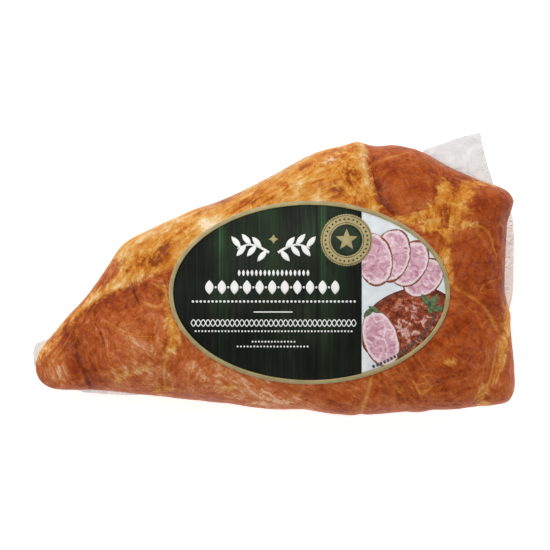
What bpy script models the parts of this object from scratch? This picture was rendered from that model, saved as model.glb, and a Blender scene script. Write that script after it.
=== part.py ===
"""Smoked ham in clear vacuum film, lying on its back with the oval label up.

The pack is one solid: the film is drawn tight on the meat, so its skin has the meat's lobes and creases.
The rest face is at z = 0, +X runs along the ham and +Z points out of the label.
"""

import math

import bmesh
import bpy
import numpy as np

MM = 0.001

# Plan outline of the film, counterclockwise from the narrow end, in millimetres.
OUTLINE = (
    (-130, -50), (-127, -58), (-120, -62), (-92, -63), (-35, -69), (14, -73), (50, -75.5),
    (78, -73.5), (103, -72), (125, -69), (129.5, -62), (129.5, -50), (128, -19), (129, 14),
    (129.5, 39), (125, 46), (111, 52), (95, 59), (78, 67.5), (65, 70.5), (54, 70), (45, 72),
    (35, 69), (20, 65), (-3, 53.5), (-27, 42.5), (-51, 32), (-75, 20.5), (-83, 15), (-90, 5.5),
    (-102, -10), (-116, -25), (-127, -40),
)
CENTRE = (18, -9)

# Heights, in millimetres, and how they fall away from the crown.
CROWN_HEIGHT = 88
CROWN_X = 30
FALL_LEFT = 0.0016
FALL_RIGHT = 0.0009
FALL_ACROSS = 0.0012

# By direction from the centre, in degrees: height of the widest level, and how square the shoulder is.
RIM_HEIGHTS = ((-160, 27), (-90, 37), (0, 42), (60, 46), (130, 40), (180, 34))
SHOULDERS = ((-160, 2.7), (-90, 3.6), (-10, 4.2), (50, 3.0), (125, 2.6), (175, 2.5))
BASE_SHOULDER = 3.0
BASE_FLATTENING = 1.09

# Muscles that bulge: centre x, y, z, half length, half width, half height, and turn in degrees.
MUSCLES = (
    (69, 50, 60, 20, 20, 50, 0),
    (114, 38, 60, 15, 12, 34, -20),
    (108, 7, 60, 14, 19, 46, 0),
    (116, -15, 58, 11, 12, 34, 0),
    (101, -38, 60, 22, 20, 46, -20),
    (94, -63, 50, 17, 11, 34, 0),
    (121, -58, 44, 9, 13, 30, 0),
    (77, -63, 54, 11, 14, 40, 0),
    (38, -66, 52, 25, 13, 40, 0),
    (-4, -65, 50, 23, 12, 40, 0),
    (-36, -53, 56, 26, 15, 46, -15),
    (-78, -34, 54, 24, 29, 46, 0),
    (-115, -48, 30, 14, 16, 34, 20),
    (-60, 22, 34, 40, 16, 26, 25),
    (10, 56, 36, 38, 14, 30, 25),
    (80, 20, 4, 42, 34, 24, 10),
    (10, -30, 4, 44, 34, 24, 0),
    (-70, -30, 4, 36, 26, 22, 20),
    (-10, 25, 6, 38, 20, 24, 25),
    (95, -45, 6, 30, 24, 24, 0),
)
MUSCLE_BULGE = 2.8

# Creases between muscles: depth, half width, and the points that each follows in plan.
CREASES = (
    (1.8, 6.0, ((-109, -33), (-105, -46), (-101, -60))),
    (1.2, 4.0, ((-97, -28), (-95, -40))),
    (1.4, 4.0, ((-78, -5), (-72, -15))),
    (2.0, 4.5, ((51, 60), (50, 52), (52, 42), (58, 32))),
    (1.2, 4.0, ((50, 31), (82, 24), (99, 6), (116, -4))),
    (1.4, 4.0, ((108, -40), (114, -58))),
)

# The fat cap ends in a step along this line, which crosses the pack, and stands proud on its upper side.
FAT_EDGE = (
    (-150, -40), (-112, -24), (-90, -12), (-72, -4), (-52, 6), (-30, 24), (0, 40), (38, 48),
    (50, 58), (54, 90),
)
FAT_STEP = 1.6
FAT_STEP_WIDTH = 8.0

# Mesh density of the pack. A full radian of turn in the outline gets the spokes of this length of it.
SPOKES = 116
RINGS = 48
OUTLINE_STEPS = 12
SPOKE_STEPS = 400
TURN_SHARE = 24

# Oval label stuck on the film.
LABEL_CENTRE = (18.4, -9.4)
LABEL_HALF_LENGTH = 75.3
LABEL_HALF_WIDTH = 49.1
LABEL_THICKNESS = 0.4
LABEL_GAP = 0.35
LABEL_SPOKES = 60
LABEL_RINGS = 9
LABEL_CALM = 1.22

# Loose film beyond the meat: seal corner at the thick end, ear at the narrow end.
SEAL_CORNER = (
    (72, 58), (80.5, 67.5), (97, 73.5), (105, 75.8), (110.7, 76.9), (112.3, 68.6), (114.5, 59.5),
    (118, 49), (108, 44), (88, 50),
)
SEAL_CORNER_HEIGHT = 47
EAR = ((-112, -36), (-123, -34.5), (-129.6, -37), (-131, -42), (-130.6, -49), (-112, -52))
EAR_HEIGHT = 26
FILM_FOLD_THICKNESS = 0.9


def turned_table(table, theta):
    """Value of a table over direction, run round the full circle."""
    degrees, values = zip(*table)
    return np.interp(np.degrees(theta), degrees, values, period=360)


def closed_curve(points, steps):
    """Smooth closed curve through the points: cubic stretches, tangents by the length of the chords."""
    p = np.array(points, float)
    ahead, behind = np.roll(p, -1, axis=0), np.roll(p, 1, axis=0)
    chord = np.linalg.norm(ahead - p, axis=1)
    chord_behind = np.roll(chord, 1)
    tangent = (ahead - behind) / (chord + chord_behind)[:, None]
    end_tangent = np.roll(tangent, -1, axis=0)
    t = (np.arange(steps) / steps)[None, :, None]
    span = chord[:, None, None]
    curve = (
        (2 * t**3 - 3 * t**2 + 1) * p[:, None]
        + (t**3 - 2 * t**2 + t) * span * tangent[:, None]
        + (3 * t**2 - 2 * t**3) * ahead[:, None]
        + (t**3 - t**2) * span * end_tangent[:, None]
    )
    return curve.reshape(-1, 2)


def outline_directions(count):
    """Directions from the centre to points along the outline, closer together where it turns."""
    curve = closed_curve(OUTLINE, OUTLINE_STEPS)
    closed = np.vstack([curve, curve[:1]])
    steps = np.diff(closed, axis=0)
    heading = np.arctan2(steps[:, 1], steps[:, 0])
    turns = np.abs(np.angle(np.exp(1j * (np.roll(heading, -1) - heading))))
    along = np.concatenate([[0], np.cumsum(np.linalg.norm(steps, axis=1) + TURN_SHARE * turns)])
    at = np.arange(count) / count * along[-1]
    x = np.interp(at, along, closed[:, 0]) - CENTRE[0]
    y = np.interp(at, along, closed[:, 1]) - CENTRE[1]
    return np.arctan2(y, x)


def reach(theta):
    """Distance from the centre to the outline in a direction."""
    offset = closed_curve(OUTLINE, OUTLINE_STEPS) - CENTRE
    directions = np.arctan2(offset[:, 1], offset[:, 0])
    order = np.argsort(directions)
    distances = np.linalg.norm(offset, axis=1)
    return np.interp(theta, directions[order], distances[order], period=2 * math.pi)


def crown(x, y):
    """Height of the front face before its shoulders fall away."""
    fall = np.where(x < CROWN_X, FALL_LEFT, FALL_RIGHT) * (x - CROWN_X) ** 2
    return CROWN_HEIGHT - fall - FALL_ACROSS * (y - CENTRE[1]) ** 2


def smooth_step(value, low, high):
    """0 below low, 1 above high, and a smooth rise between."""
    t = np.clip((value - low) / (high - low), 0, 1)
    return t * t * (3 - 2 * t)


def base_form(theta, phi):
    """Pillow over the outline: each spoke is a superellipse, square to the rim, with a flattened base."""
    upper = phi <= math.pi / 2 + 1e-9
    power = np.where(upper, turned_table(SHOULDERS, theta), BASE_SHOULDER)
    out, up = np.sin(phi), np.abs(np.cos(phi))
    scale = (out**power + up**power) ** (-1 / power)
    share, lift = out * scale, up * scale
    x = CENTRE[0] + share * reach(theta) * np.cos(theta)
    y = CENTRE[1] + share * reach(theta) * np.sin(theta)
    rim = turned_table(RIM_HEIGHTS, theta)
    z_upper = rim + (crown(x, y) - rim) * lift
    z_lower = rim * (1 - BASE_FLATTENING * lift)
    return np.stack([x, y, np.where(upper, z_upper, z_lower)], axis=-1)


def path_distance(x, y, path):
    """Distance in plan to a path of straight stretches, and the side: positive on its left."""
    best = np.full(x.shape, 1e9)
    side = np.zeros(x.shape)
    for (ax, ay), (bx, by) in zip(path, path[1:]):
        dx, dy = bx - ax, by - ay
        t = np.clip(((x - ax) * dx + (y - ay) * dy) / (dx * dx + dy * dy), 0, 1)
        distance = np.hypot(x - ax - t * dx, y - ay - t * dy)
        cross = dx * (y - ay) - dy * (x - ax)
        side = np.where(distance < best, np.sign(cross), side)
        best = np.minimum(best, distance)
    return best, side


def muscle_relief(p):
    """Bulge of the nearest muscle: full at its middle and none at its edge."""
    nearest = np.full(p.shape[:-1], 9.0)
    for cx, cy, cz, length, width, height, turn in MUSCLES:
        c, s = math.cos(math.radians(turn)), math.sin(math.radians(turn))
        x, y = p[..., 0] - cx, p[..., 1] - cy
        u, v, w = (c * x + s * y) / length, (c * y - s * x) / width, (p[..., 2] - cz) / height
        nearest = np.minimum(nearest, u * u + v * v + w * w)
    return MUSCLE_BULGE * np.clip(1 - nearest, 0, 1)


def front_relief(p):
    """Step of the fat cap's edge and the creases, on the front only."""
    x, y = p[..., 0], p[..., 1]
    on_front = smooth_step(p[..., 2], 20, 40)
    distance, side = path_distance(x, y, FAT_EDGE)
    relief = FAT_STEP * smooth_step(side * distance, -FAT_STEP_WIDTH / 2, FAT_STEP_WIDTH / 2)
    for depth, half_width, path in CREASES:
        distance, _ = path_distance(x, y, path)
        relief = relief - depth * np.exp(-((distance / half_width) ** 2))
    return relief * on_front


def relief_share(p, phi):
    """Share of the relief that shows: low at the rim, which keeps the outline, and none on the rest face."""
    from_rim = smooth_step(np.abs(np.cos(phi)), 0.05, 0.5)
    return (0.25 + 0.75 * from_rim) * smooth_step(p[..., 2], 3, 16) * beside_label(p)


def beside_label(p):
    """0 under the label, where the film is drawn smooth, and 1 away from it."""
    u = (p[..., 0] - LABEL_CENTRE[0]) / LABEL_HALF_LENGTH
    v = (p[..., 1] - LABEL_CENTRE[1]) / LABEL_HALF_WIDTH
    away = smooth_step(np.hypot(u, v), 1.03, LABEL_CALM)
    return np.maximum(away, 1 - smooth_step(p[..., 2], 25, 45))


def outward(grid):
    """Unit normals of a closed grid of rings and spokes, pointing out."""
    across = np.roll(grid, -1, axis=1) - np.roll(grid, 1, axis=1)
    down = np.gradient(grid, axis=0)
    normal = np.cross(down, across)
    length = np.linalg.norm(normal, axis=-1, keepdims=True)
    normal = normal / np.maximum(length, 1e-9)
    normal[0], normal[-1] = (0, 0, 1), (0, 0, -1)
    return normal


def even_levels(theta, rings):
    """Angles from the top pole to the bottom pole that are evenly spaced along the average spoke."""
    fine = np.linspace(0, math.pi, SPOKE_STEPS)
    points = base_form(*np.broadcast_arrays(theta[None, :], fine[:, None]))
    steps = np.linalg.norm(np.diff(points, axis=0), axis=-1).mean(axis=1)
    along = np.concatenate([[0], np.cumsum(steps)])
    return np.interp(np.linspace(0, along[-1], rings + 1), along, fine)


def pack_grid(spokes, rings):
    """Points of the pack's skin in millimetres: the base form, pushed out by its relief, on a flat base."""
    theta = outline_directions(spokes)
    phi = even_levels(theta, rings)
    theta, phi = np.broadcast_arrays(theta[None, :], phi[:, None])
    base = base_form(theta, phi)
    relief = (muscle_relief(base) + front_relief(base)) * relief_share(base, phi)
    grid = base + relief[..., None] * outward(base)
    grid[..., 2] = np.maximum(grid[..., 2], 0)
    return grid


def material(name, colour, roughness):
    """Principled material with one colour and roughness."""
    made = bpy.data.materials.new(name)
    made.use_nodes = True
    shader = made.node_tree.nodes["Principled BSDF"]
    shader.inputs["Base Color"].default_value = (*colour, 1)
    shader.inputs["Roughness"].default_value = roughness
    shader.inputs["Metallic"].default_value = 0
    return made


def add_object(name, mesh, collection, finish):
    """Puts a mesh in the collection as a named object with its material."""
    made = bpy.data.objects.new(name, mesh)
    collection.objects.link(made)
    mesh.materials.clear()
    mesh.materials.append(finish)
    return made


def sphere_on_grid(grid):
    """Mesh of a primitive sphere whose points are moved onto the grid, ring by ring."""
    rings, spokes = grid.shape[0] - 1, grid.shape[1]
    bm = bmesh.new()
    bmesh.ops.create_uvsphere(bm, u_segments=spokes, v_segments=rings, radius=1)
    for vert in bm.verts:
        ring = round(math.acos(max(-1.0, min(1.0, vert.co.z))) / math.pi * rings)
        spoke = round(math.atan2(vert.co.y, vert.co.x) / (2 * math.pi) * spokes) % spokes
        vert.co = grid[ring, spoke] * MM
    bmesh.ops.recalc_face_normals(bm, faces=bm.faces)
    mesh = bpy.data.meshes.new("pack")
    bm.to_mesh(mesh)
    bm.free()
    return mesh


def film_fold(points, height, collection):
    """Flat fold of loose film: an outline filled to the fold's thickness, as a mesh object."""
    curve = bpy.data.curves.new("film_fold", "CURVE")
    curve.dimensions = "2D"
    curve.fill_mode = "BOTH"
    curve.extrude = FILM_FOLD_THICKNESS / 2 * MM
    spline = curve.splines.new("POLY")
    spline.points.add(len(points) - 1)
    for point, (x, y) in zip(spline.points, points):
        point.co = (x * MM, y * MM, 0, 1)
    spline.use_cyclic_u = True
    made = bpy.data.objects.new("film_fold", curve)
    made.location = (0, 0, height * MM)
    collection.objects.link(made)
    bpy.context.view_layer.update()
    graph = bpy.context.evaluated_depsgraph_get()
    mesh = bpy.data.meshes.new_from_object(made.evaluated_get(graph))
    mesh.transform(made.matrix_world)
    bpy.data.objects.remove(made)
    bm = bmesh.new()
    bm.from_mesh(mesh)
    bmesh.ops.remove_doubles(bm, verts=bm.verts, dist=0.00001)
    bmesh.ops.recalc_face_normals(bm, faces=bm.faces)
    bm.to_mesh(mesh)
    bm.free()
    fold = bpy.data.objects.new("film_fold", mesh)
    collection.objects.link(fold)
    return fold


def join_folds(pack, folds):
    """Joins the folds to the pack in one union, applies it and removes them."""
    union = pack.modifiers.new("folds", "BOOLEAN")
    union.operation = "UNION"
    union.operand_type = "COLLECTION"
    union.collection = folds
    union.solver = "EXACT"
    graph = bpy.context.evaluated_depsgraph_get()
    joined = bpy.data.meshes.new_from_object(pack.evaluated_get(graph))
    pack.modifiers.clear()
    pack.data = joined
    for fold in list(folds.objects):
        bpy.data.objects.remove(fold)
    bpy.data.collections.remove(folds)


def build_pack(collection):
    """The ham in its film, with the loose folds of film joined on."""
    mesh = sphere_on_grid(pack_grid(SPOKES, RINGS))
    finish = material("smoked_ham_in_film", (0.42, 0.13, 0.04), 0.3)
    pack = add_object("ham_in_film", mesh, collection, finish)
    folds = bpy.data.collections.new("folds")
    bpy.context.scene.collection.children.link(folds)
    film_fold(SEAL_CORNER, SEAL_CORNER_HEIGHT, folds)
    film_fold(EAR, EAR_HEIGHT, folds)
    join_folds(pack, folds)
    pack.data.shade_smooth()
    return pack


def front_height(x, y):
    """Height of the bare front face at a point in plan."""
    dx, dy = x - CENTRE[0], y - CENTRE[1]
    theta = np.arctan2(dy, dx)
    share = np.hypot(dx, dy) / reach(theta)
    power = turned_table(SHOULDERS, theta)
    lift = (1 - share**power) ** (1 / power)
    rim = turned_table(RIM_HEIGHTS, theta)
    return rim + (crown(x, y) - rim) * lift


def build_label(collection):
    """Oval label: rings of points laid on the front face with a small gap, given its thickness."""
    turn = np.arange(LABEL_SPOKES) / LABEL_SPOKES * 2 * math.pi
    share = (np.arange(1, LABEL_RINGS + 1) / LABEL_RINGS)[:, None]
    x = np.append(LABEL_CENTRE[0], LABEL_CENTRE[0] + LABEL_HALF_LENGTH * share * np.cos(turn))
    y = np.append(LABEL_CENTRE[1], LABEL_CENTRE[1] + LABEL_HALF_WIDTH * share * np.sin(turn))
    z = front_height(x, y) + LABEL_GAP
    bm = bmesh.new()
    verts = [bm.verts.new(point) for point in np.stack([x, y, z], axis=-1) * MM]
    for spoke in range(LABEL_SPOKES):
        beside = (spoke + 1) % LABEL_SPOKES
        bm.faces.new((verts[0], verts[1 + spoke], verts[1 + beside]))
        for ring in range(LABEL_RINGS - 1):
            inner = 1 + ring * LABEL_SPOKES
            outer = inner + LABEL_SPOKES
            corners = (inner + spoke, outer + spoke, outer + beside, inner + beside)
            bm.faces.new([verts[corner] for corner in corners])
    mesh = bpy.data.meshes.new("label")
    bm.to_mesh(mesh)
    bm.free()
    label = add_object("label", mesh, collection, material("label_print", (0.02, 0.05, 0.02), 0.4))
    shell = label.modifiers.new("thickness", "SOLIDIFY")
    shell.thickness = LABEL_THICKNESS * MM
    shell.offset = 1
    return label


def main():
    for old in list(bpy.data.objects):
        bpy.data.objects.remove(old)
    collection = bpy.data.collections.new("packed_ham")
    bpy.context.scene.collection.children.link(collection)
    build_pack(collection)
    build_label(collection)


main()
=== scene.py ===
"""Looks of a vacuum packed smoked ham: meat, clear film, loose film and the oval label with its print.

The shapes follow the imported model, which is in metres. Lengths in this file are in millimetres unless
a name or comment says otherwise.
"""

import math

import bpy
import numpy as np
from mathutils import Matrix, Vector


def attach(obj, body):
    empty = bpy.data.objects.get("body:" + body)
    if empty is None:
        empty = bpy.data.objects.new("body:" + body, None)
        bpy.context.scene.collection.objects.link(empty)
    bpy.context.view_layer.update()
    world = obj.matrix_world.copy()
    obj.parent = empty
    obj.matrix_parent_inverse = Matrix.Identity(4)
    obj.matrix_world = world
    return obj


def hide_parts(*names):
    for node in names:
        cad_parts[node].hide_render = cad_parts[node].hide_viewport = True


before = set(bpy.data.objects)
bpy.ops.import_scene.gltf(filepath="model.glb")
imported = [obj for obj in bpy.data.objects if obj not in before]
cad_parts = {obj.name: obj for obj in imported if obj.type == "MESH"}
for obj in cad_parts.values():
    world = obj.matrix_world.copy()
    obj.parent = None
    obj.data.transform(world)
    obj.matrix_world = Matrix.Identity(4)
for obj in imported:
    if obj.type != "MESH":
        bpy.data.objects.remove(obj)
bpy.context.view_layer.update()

bl_info = {
    "name": "Vacuum packed ham",
    "version": (1, 0, 0),
    "blender": (4, 5, 0),
    "location": "View3D > Sidebar > Packed ham",
    "description": "Builds a smoked ham in clear film with an oval label round its packed model",
    "category": "Add Mesh",
}

MM = 0.001

# Form of the pack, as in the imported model.

OUTLINE = (
    (-130, -50), (-127, -58), (-120, -62), (-92, -63), (-35, -69), (14, -73), (50, -75.5),
    (78, -73.5), (103, -72), (125, -69), (129.5, -62), (129.5, -50), (128, -19), (129, 14),
    (129.5, 39), (125, 46), (111, 52), (95, 59), (78, 67.5), (65, 70.5), (54, 70), (45, 72),
    (35, 69), (20, 65), (-3, 53.5), (-27, 42.5), (-51, 32), (-75, 20.5), (-83, 15), (-90, 5.5),
    (-102, -10), (-116, -25), (-127, -40),
)
CENTRE = (18, -9)

# The front's dome: height and place of its top, and how fast it falls away to each side.
CROWN_HEIGHT = 88
CROWN_X = 30
FALL_LEFT = 0.0016
FALL_RIGHT = 0.0009
FALL_ACROSS = 0.0012

# Direction in degrees with the height of the rim there, and with the squareness of the shoulder.
RIM_HEIGHTS = ((-160, 27), (-90, 37), (0, 42), (60, 46), (130, 40), (180, 34))
SHOULDERS = ((-160, 2.7), (-90, 3.6), (-10, 4.2), (50, 3.0), (125, 2.6), (175, 2.5))
BASE_SHOULDER = 3.0
BASE_FLATTENING = 1.09

# Muscles that bulge: centre, half length, half width, half height and turn in degrees.
MUSCLES = (
    (69, 50, 60, 20, 20, 50, 0),
    (114, 38, 60, 15, 12, 34, -20),
    (108, 7, 60, 14, 19, 46, 0),
    (116, -15, 58, 11, 12, 34, 0),
    (101, -38, 60, 22, 20, 46, -20),
    (94, -63, 50, 17, 11, 34, 0),
    (121, -58, 44, 9, 13, 30, 0),
    (77, -63, 54, 11, 14, 40, 0),
    (38, -66, 52, 25, 13, 40, 0),
    (-4, -65, 50, 23, 12, 40, 0),
    (-36, -53, 56, 26, 15, 46, -15),
    (-78, -34, 54, 24, 29, 46, 0),
    (-115, -48, 30, 14, 16, 34, 20),
    (-60, 22, 34, 40, 16, 26, 25),
    (10, 56, 36, 38, 14, 30, 25),
    (80, 20, 4, 42, 34, 24, 10),
    (10, -30, 4, 44, 34, 24, 0),
    (-70, -30, 4, 36, 26, 22, 20),
    (-10, 25, 6, 38, 20, 24, 25),
    (95, -45, 6, 30, 24, 24, 0),
)
MUSCLE_BULGE = 2.8

# Edge of the fat cap in plan; the fat on its left stands a step higher.
FAT_STEP_EDGE = (
    (-150, -40), (-112, -24), (-90, -12), (-72, -4), (-52, 6), (-30, 24), (0, 40), (38, 48),
    (50, 58), (54, 90),
)
FAT_STEP = 1.6
FAT_STEP_WIDTH = 8.0

# Where the relief sets in: heights of the front, of the rest face's edge, and distance from the rim.
FRONT_LEVELS = (20, 40)
REST_LEVELS = (3, 16)
RIM_FADE = (0.05, 0.5)
RIM_RELIEF = 0.25

# The label's place, and where the film round it is drawn smooth: share of its size, and heights.
LABEL_CENTRE = (18.4, -9.4)
LABEL_HALF_LENGTH = 75.3
LABEL_HALF_WIDTH = 49.1
LABEL_CALM = (1.03, 1.22)
LABEL_LEVELS = (25, 45)

# Mesh density, and the size of the lattice of noise, which then repeats.
LATTICE = 32
SPOKES = 400
RINGS = 236
OUTLINE_STEPS = 12
SPOKE_STEPS = 800
TURN_SHARE = 24
SHEET_STEPS = 90
SHEET_ROWS = 22
PAPER_RINGS = 27
PAPER_SPOKES = 160

# Creases in the meat: depth and half width, then the points that each follows in plan.
CREASES = (
    (2.4, 2.2, ((-107, -36), (-107.5, -39), (-106.5, -44), (-104, -50), (-101.7, -55.6),
                (-100, -64))),
    (1.3, 3.0, ((-97, -24), (-94, -31), (-91.5, -40))),
    (1.5, 1.8, ((-77, -5), (-75, -10), (-73.5, -16))),
    (1.8, 3.0, ((48, 76), (51, 60), (53, 48), (57, 36), (62, 31))),
    (1.0, 2.5, ((88, 27), (98, 28), (109, 25), (116, 19), (118, 8))),
    (1.2, 2.5, ((95, -6), (102, -10), (112, -17), (119, -32))),
    (0.9, 2.0, ((110, -8), (113, -4.5), (119, -3))),
    (1.4, 2.6, ((118, -44), (114, -57), (111, -70))),
    (1.0, 2.0, ((53, -54), (50, -63), (46, -76))),
    (0.9, 2.5, ((-56, -48), (-58, -56), (-58, -66))),
    (1.0, 3.0, ((90, 48), (95, 38), (91, 22), (93, 2))),
)

# Painted shade: thin dark lines in the deepest creases, where shade falls, with the line's half width at
# each point.
CREASE_SHADE_LINES = (
    ((-107.3, -38, 0.3), (-106.8, -43, 0.7), (-104.3, -49.5, 1.0), (-101.8, -55.6, 1.2),
     (-100, -61, 0.7)),
    ((-76.5, -6, 0.3), (-75.5, -10, 0.6), (-73.5, -15, 0.3)),
    ((-97, -26, 0.3), (-94, -31, 0.5), (-92, -37, 0.3)),
    ((52, 56, 0.2), (54.5, 47, 0.4), (58.5, 37, 0.4), (64, 31.5, 0.2)),
)

# Where the fat cap meets the lean on the front: fat lies to the left of this line.
FAT_LINE = (
    (-140, -56), (-125, -43.5), (-117, -34), (-110, -25), (-103, -18.5), (-95.5, -13.5),
    (-86, -8.5), (-78, -6), (-72, -2), (-64, 1), (-56, 4), (-10, 16), (34, 22), (56, 30),
    (57, 36), (54, 44), (51.5, 52), (49.5, 60), (48.5, 67), (47, 95),
)

# Fat seams in the lean: points with the seam's half width at each.
SEAMS = (
    ((-60, -5, 0.8), (-58.3, -13.5, 0.9), (-57, -20, 1.0), (-56.2, -25.4, 2.0), (-54, -32, 3.0),
     (-55, -38, 3.2), (-58, -43, 1.2)),
    ((98, 43, 2.6), (106, 48.5, 2.0), (112, 50, 1.5), (117, 49.5, 0.8)),
    ((92, 36, 2.0), (92, 24, 4.0), (90.5, 16.5, 2.6), (92, 6, 1.4), (94, -4, 1.4)),
    ((65, 30.5, 0.8), (72.7, 29.5, 2.2), (80, 32, 2.6), (86.5, 36.5, 3.6), (90, 40, 3.6)),
    ((98, 29, 2.6), (103, 27, 1.8), (108, 26.5, 0.8)),
    ((83.5, 24.5, 1.6), (88, 28, 3.0)),
    ((126.5, 3, 1.0), (126.8, -8, 1.8), (126, -19, 2.6), (125, -30, 2.6), (122.5, -40, 2.0),
     (120.5, -51, 0.8)),
    ((112.5, -60, 0.8), (111, -66, 2.2), (113, -70, 2.4)),
    ((-40, -24, 1.6), (-10, -30, 2.4), (22, -26, 2.0), (50, -34, 2.6), (84, -24, 1.6)),
    ((8, 18, 1.8), (14, -4, 2.6), (22, -26, 2.0), (18, -52, 1.6)),
    ((50, 20, 2.4), (62, -4, 2.2), (50, -34, 2.6)),
)

# Thin lines of fat, with the line's half width at each point.
FAT_LINES = (
    ((-66, -4.5, 0.3), (-62, -6.5, 0.9), (-58.5, -9, 0.9)),
    ((-71, -14.5, 0.4), (-68, -16, 1.0), (-63, -17.3, 1.0), (-58, -15, 0.8)),
    ((-57, -42, 0.9), (-59.4, -48, 0.6), (-59.7, -54.5, 0.5), (-58.3, -63, 0.7)),
    ((111, 25.8, 0.5), (114.6, 23, 0.6), (116.5, 18.5, 0.5), (117, 14.8, 0.4), (118.7, 11, 0.3)),
    ((97.5, 23, 0.5), (103, 26.8, 0.9), (107.7, 26.3, 0.8), (111, 25.8, 0.5)),
    ((110.5, -7.8, 0.4), (111.8, -5.5, 0.5), (115, -3.7, 0.5), (118.3, -2.7, 0.3)),
    ((94, -5, 0.9), (98, -8, 1.0), (102.2, -10.2, 0.8), (107.7, -13.3, 0.7), (112.3, -17.5, 0.7),
     (115.5, -22, 0.8), (119, -29, 0.9)),
    ((50.6, 58, 0.5), (55, 60.8, 0.9), (59.8, 62.7, 0.7), (69.9, 65.4, 0.4)),
    ((51.3, -56, 0.7), (50.5, -60, 0.8), (49.7, -64, 0.9), (47, -72, 0.9)),
    ((119, -38, 0.7), (117.4, -47, 0.5), (115.5, -56, 0.6), (112.5, -62, 0.9)),
    ((121.5, -40, 0.4), (121, -50, 0.5), (118.5, -58, 0.4)),
    ((-124, -45, 0.3), (-119, -38, 0.6), (-113.5, -30, 0.5), (-110, -25, 0.3)),
    ((-122, -42, 0.3), (-117, -33, 0.5), (-112, -27, 0.3)),
    ((-119.5, -46, 0.3), (-114, -38.5, 0.5), (-109.5, -31, 0.4)),
    ((-88, -52, 0.3), (-84, -54.5, 0.8), (-80, -52, 0.4)),
    ((-90, -49, 0.2), (-86, -51, 0.5), (-83, -50, 0.2)),
    ((-92, -24, 0.15), (-84, -29, 0.3), (-74, -33, 0.2), (-66, -33, 0.15)),
    ((74, -57, 0.3), (78.5, -65, 0.5), (84, -60, 0.4), (80, -55, 0.3)),
    ((76, -59, 0.3), (81.5, -57.5, 0.3)),
    ((78, -62.5, 0.3), (83, -61, 0.3)),
    ((66, 20, 0.3), (60, 26, 0.6), (64, 30.5, 0.6)),
)

# Patches of fat and of lean: centre, half length, half width and turn in degrees.
FAT_PATCHES = (
    (-60, -62, 4.5, 1.6, 0),
    (-70, -50, 2.0, 1.4, 20),
    (-82, -55, 4.0, 1.2, 30),
    (-24, -60, 2.4, 1.6, 20),
    (93.5, -46.5, 1.8, 1.0, 0),
    (66.5, -61, 1.2, 1.0, 0),
    (-30, -2, 9, 4, 30),
    (70, -12, 6, 4, 0),
    (91.5, 42.5, 4.5, 8.5, 4),
    (100.5, 43, 8.5, 4.5, 48),
    (94.5, 34.5, 9.5, 6.5, 0),
    (86, 28, 8, 4.5, 25),
)
LEAN_PATCHES = (
    (-90, 0.5, 10.5, 4.0, 50),
    (-104, -14, 6, 1.6, 48),
    (30, 62, 3.5, 1.4, 20),
    (20, 22, 12, 6, 20),
)

# Brown smoke smears on the fat: centre, half length, half width, turn in degrees and strength.
SMEARS = (
    (-65, 8, 10, 4, 48, 1.0),
    (-60, 15, 7, 3, 44, 0.9),
    (-73, 9, 5, 3, 60, 0.8),
    (-71, 17, 5, 2.5, 20, 0.6),
    (-20, 37, 6, 3, 30, 0.5),
    (-12, 40, 6, 3.5, 30, 0.6),
    (-2, 41, 5, 3.0, 60, 0.6),
    (5, 47, 4, 3, -60, 0.9),
    (-28, 40, 7, 2, 27, 0.8),
    (-40, 34, 6, 1.6, 27, 0.7),
    (14, 57, 9, 1.8, 24, 0.7),
    (-80, 2, 5, 2, 45, 0.7),
    (24, 50, 3, 2.4, 0, 0.9),
    (33, 45, 5, 4, -70, 1.0),
    (40, 54, 9, 4.5, -62, 1.1),
    (30, 66.5, 4, 1.6, 20, 0.9),
    (44, 40, 5, 3, -60, 0.6),
    (-48, 25, 8, 3, 20, 0.3),
    (-118, -35, 12, 5, 52, 0.55),
    (-108, -19, 9, 2.5, 50, 0.4),
    (91, 32, 4, 6, 0, 0.9),
    (88, 17, 4, 6, 0, 0.9),
    (84, 20, 3, 3, 0, 0.6),
    (38, 66, 6, 2, 15, 0.5),
)

# Lighter and darker places of the meat, some of them painted shade beside creases: centre, half length,
# half width, turn in degrees and change of tone.
TONES_AND_SHADE = (
    (69, 50, 19, 17, 0, -0.12),
    (60, 41, 8, 10, 20, -0.2),
    (96, 50, 5, 4, -20, -0.5),
    (114, 36, 14, 12, -20, -0.42),
    (108, 7, 14, 18, 0, -0.42),
    (116, -14, 10, 10, 0, -0.36),
    (101, -38, 20, 18, -20, -0.45),
    (94, -63, 16, 9, 0, -0.1),
    (120, -56, 5, 10, 0, 0.4),
    (76, -62, 11, 12, 0, -0.2),
    (30, -66, 24, 9, -10, -0.1),
    (-10, -62, 24, 8, -20, 0.8),
    (-2, -67, 16, 4, -14, 0.4),
    (-40, -52, 16, 9, -20, 0.3),
    (-52, -57, 6, 4, -20, 0.4),
    (-86, -18, 20, 8, -15, -0.45),
    (-72, -40, 24, 15, -30, 0.45),
    (-84, -54, 9, 5, 20, 0.5),
    (-64, -10, 8, 6, 0, -0.5),
    (-117, -50, 8, 14, 20, 0.6),
    (-57, 24, 10, 6, 25, 0.6),
    (-42, 30, 9, 4, 27, 0.4),
    (38, 67, 3, 3, 0, 0.5),
    # Painted shade on both sides of the crease at the narrow end.
    (-109, -46, 3, 12, 12, -0.6),
    (-98, -50, 5, 12, 10, -0.3),
    (-36, 27, 5, 3.6, 20, 1.1),
    (-30, 36, 10, 4, 26, 0.3),
    (-78, 10, 5, 8, -30, 0.4),
    (9, 46, 8, 4, 10, 0.5),
    (22, 42, 9, 4, 10, 0.4),
    (30, 63, 3, 4, 0, 0.5),
    (47, 64, 3, 7, 10, 0.6),
    (50, 48, 1.6, 8, 15, 0.5),
    (92, 42, 12, 10, 0, -0.25),
    (84, 31, 12, 6, 20, -0.15),
    (82, -60, 4, 5, 20, 0.3),
    (-116, -31, 12, 4, 50, -0.35),
)
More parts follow.
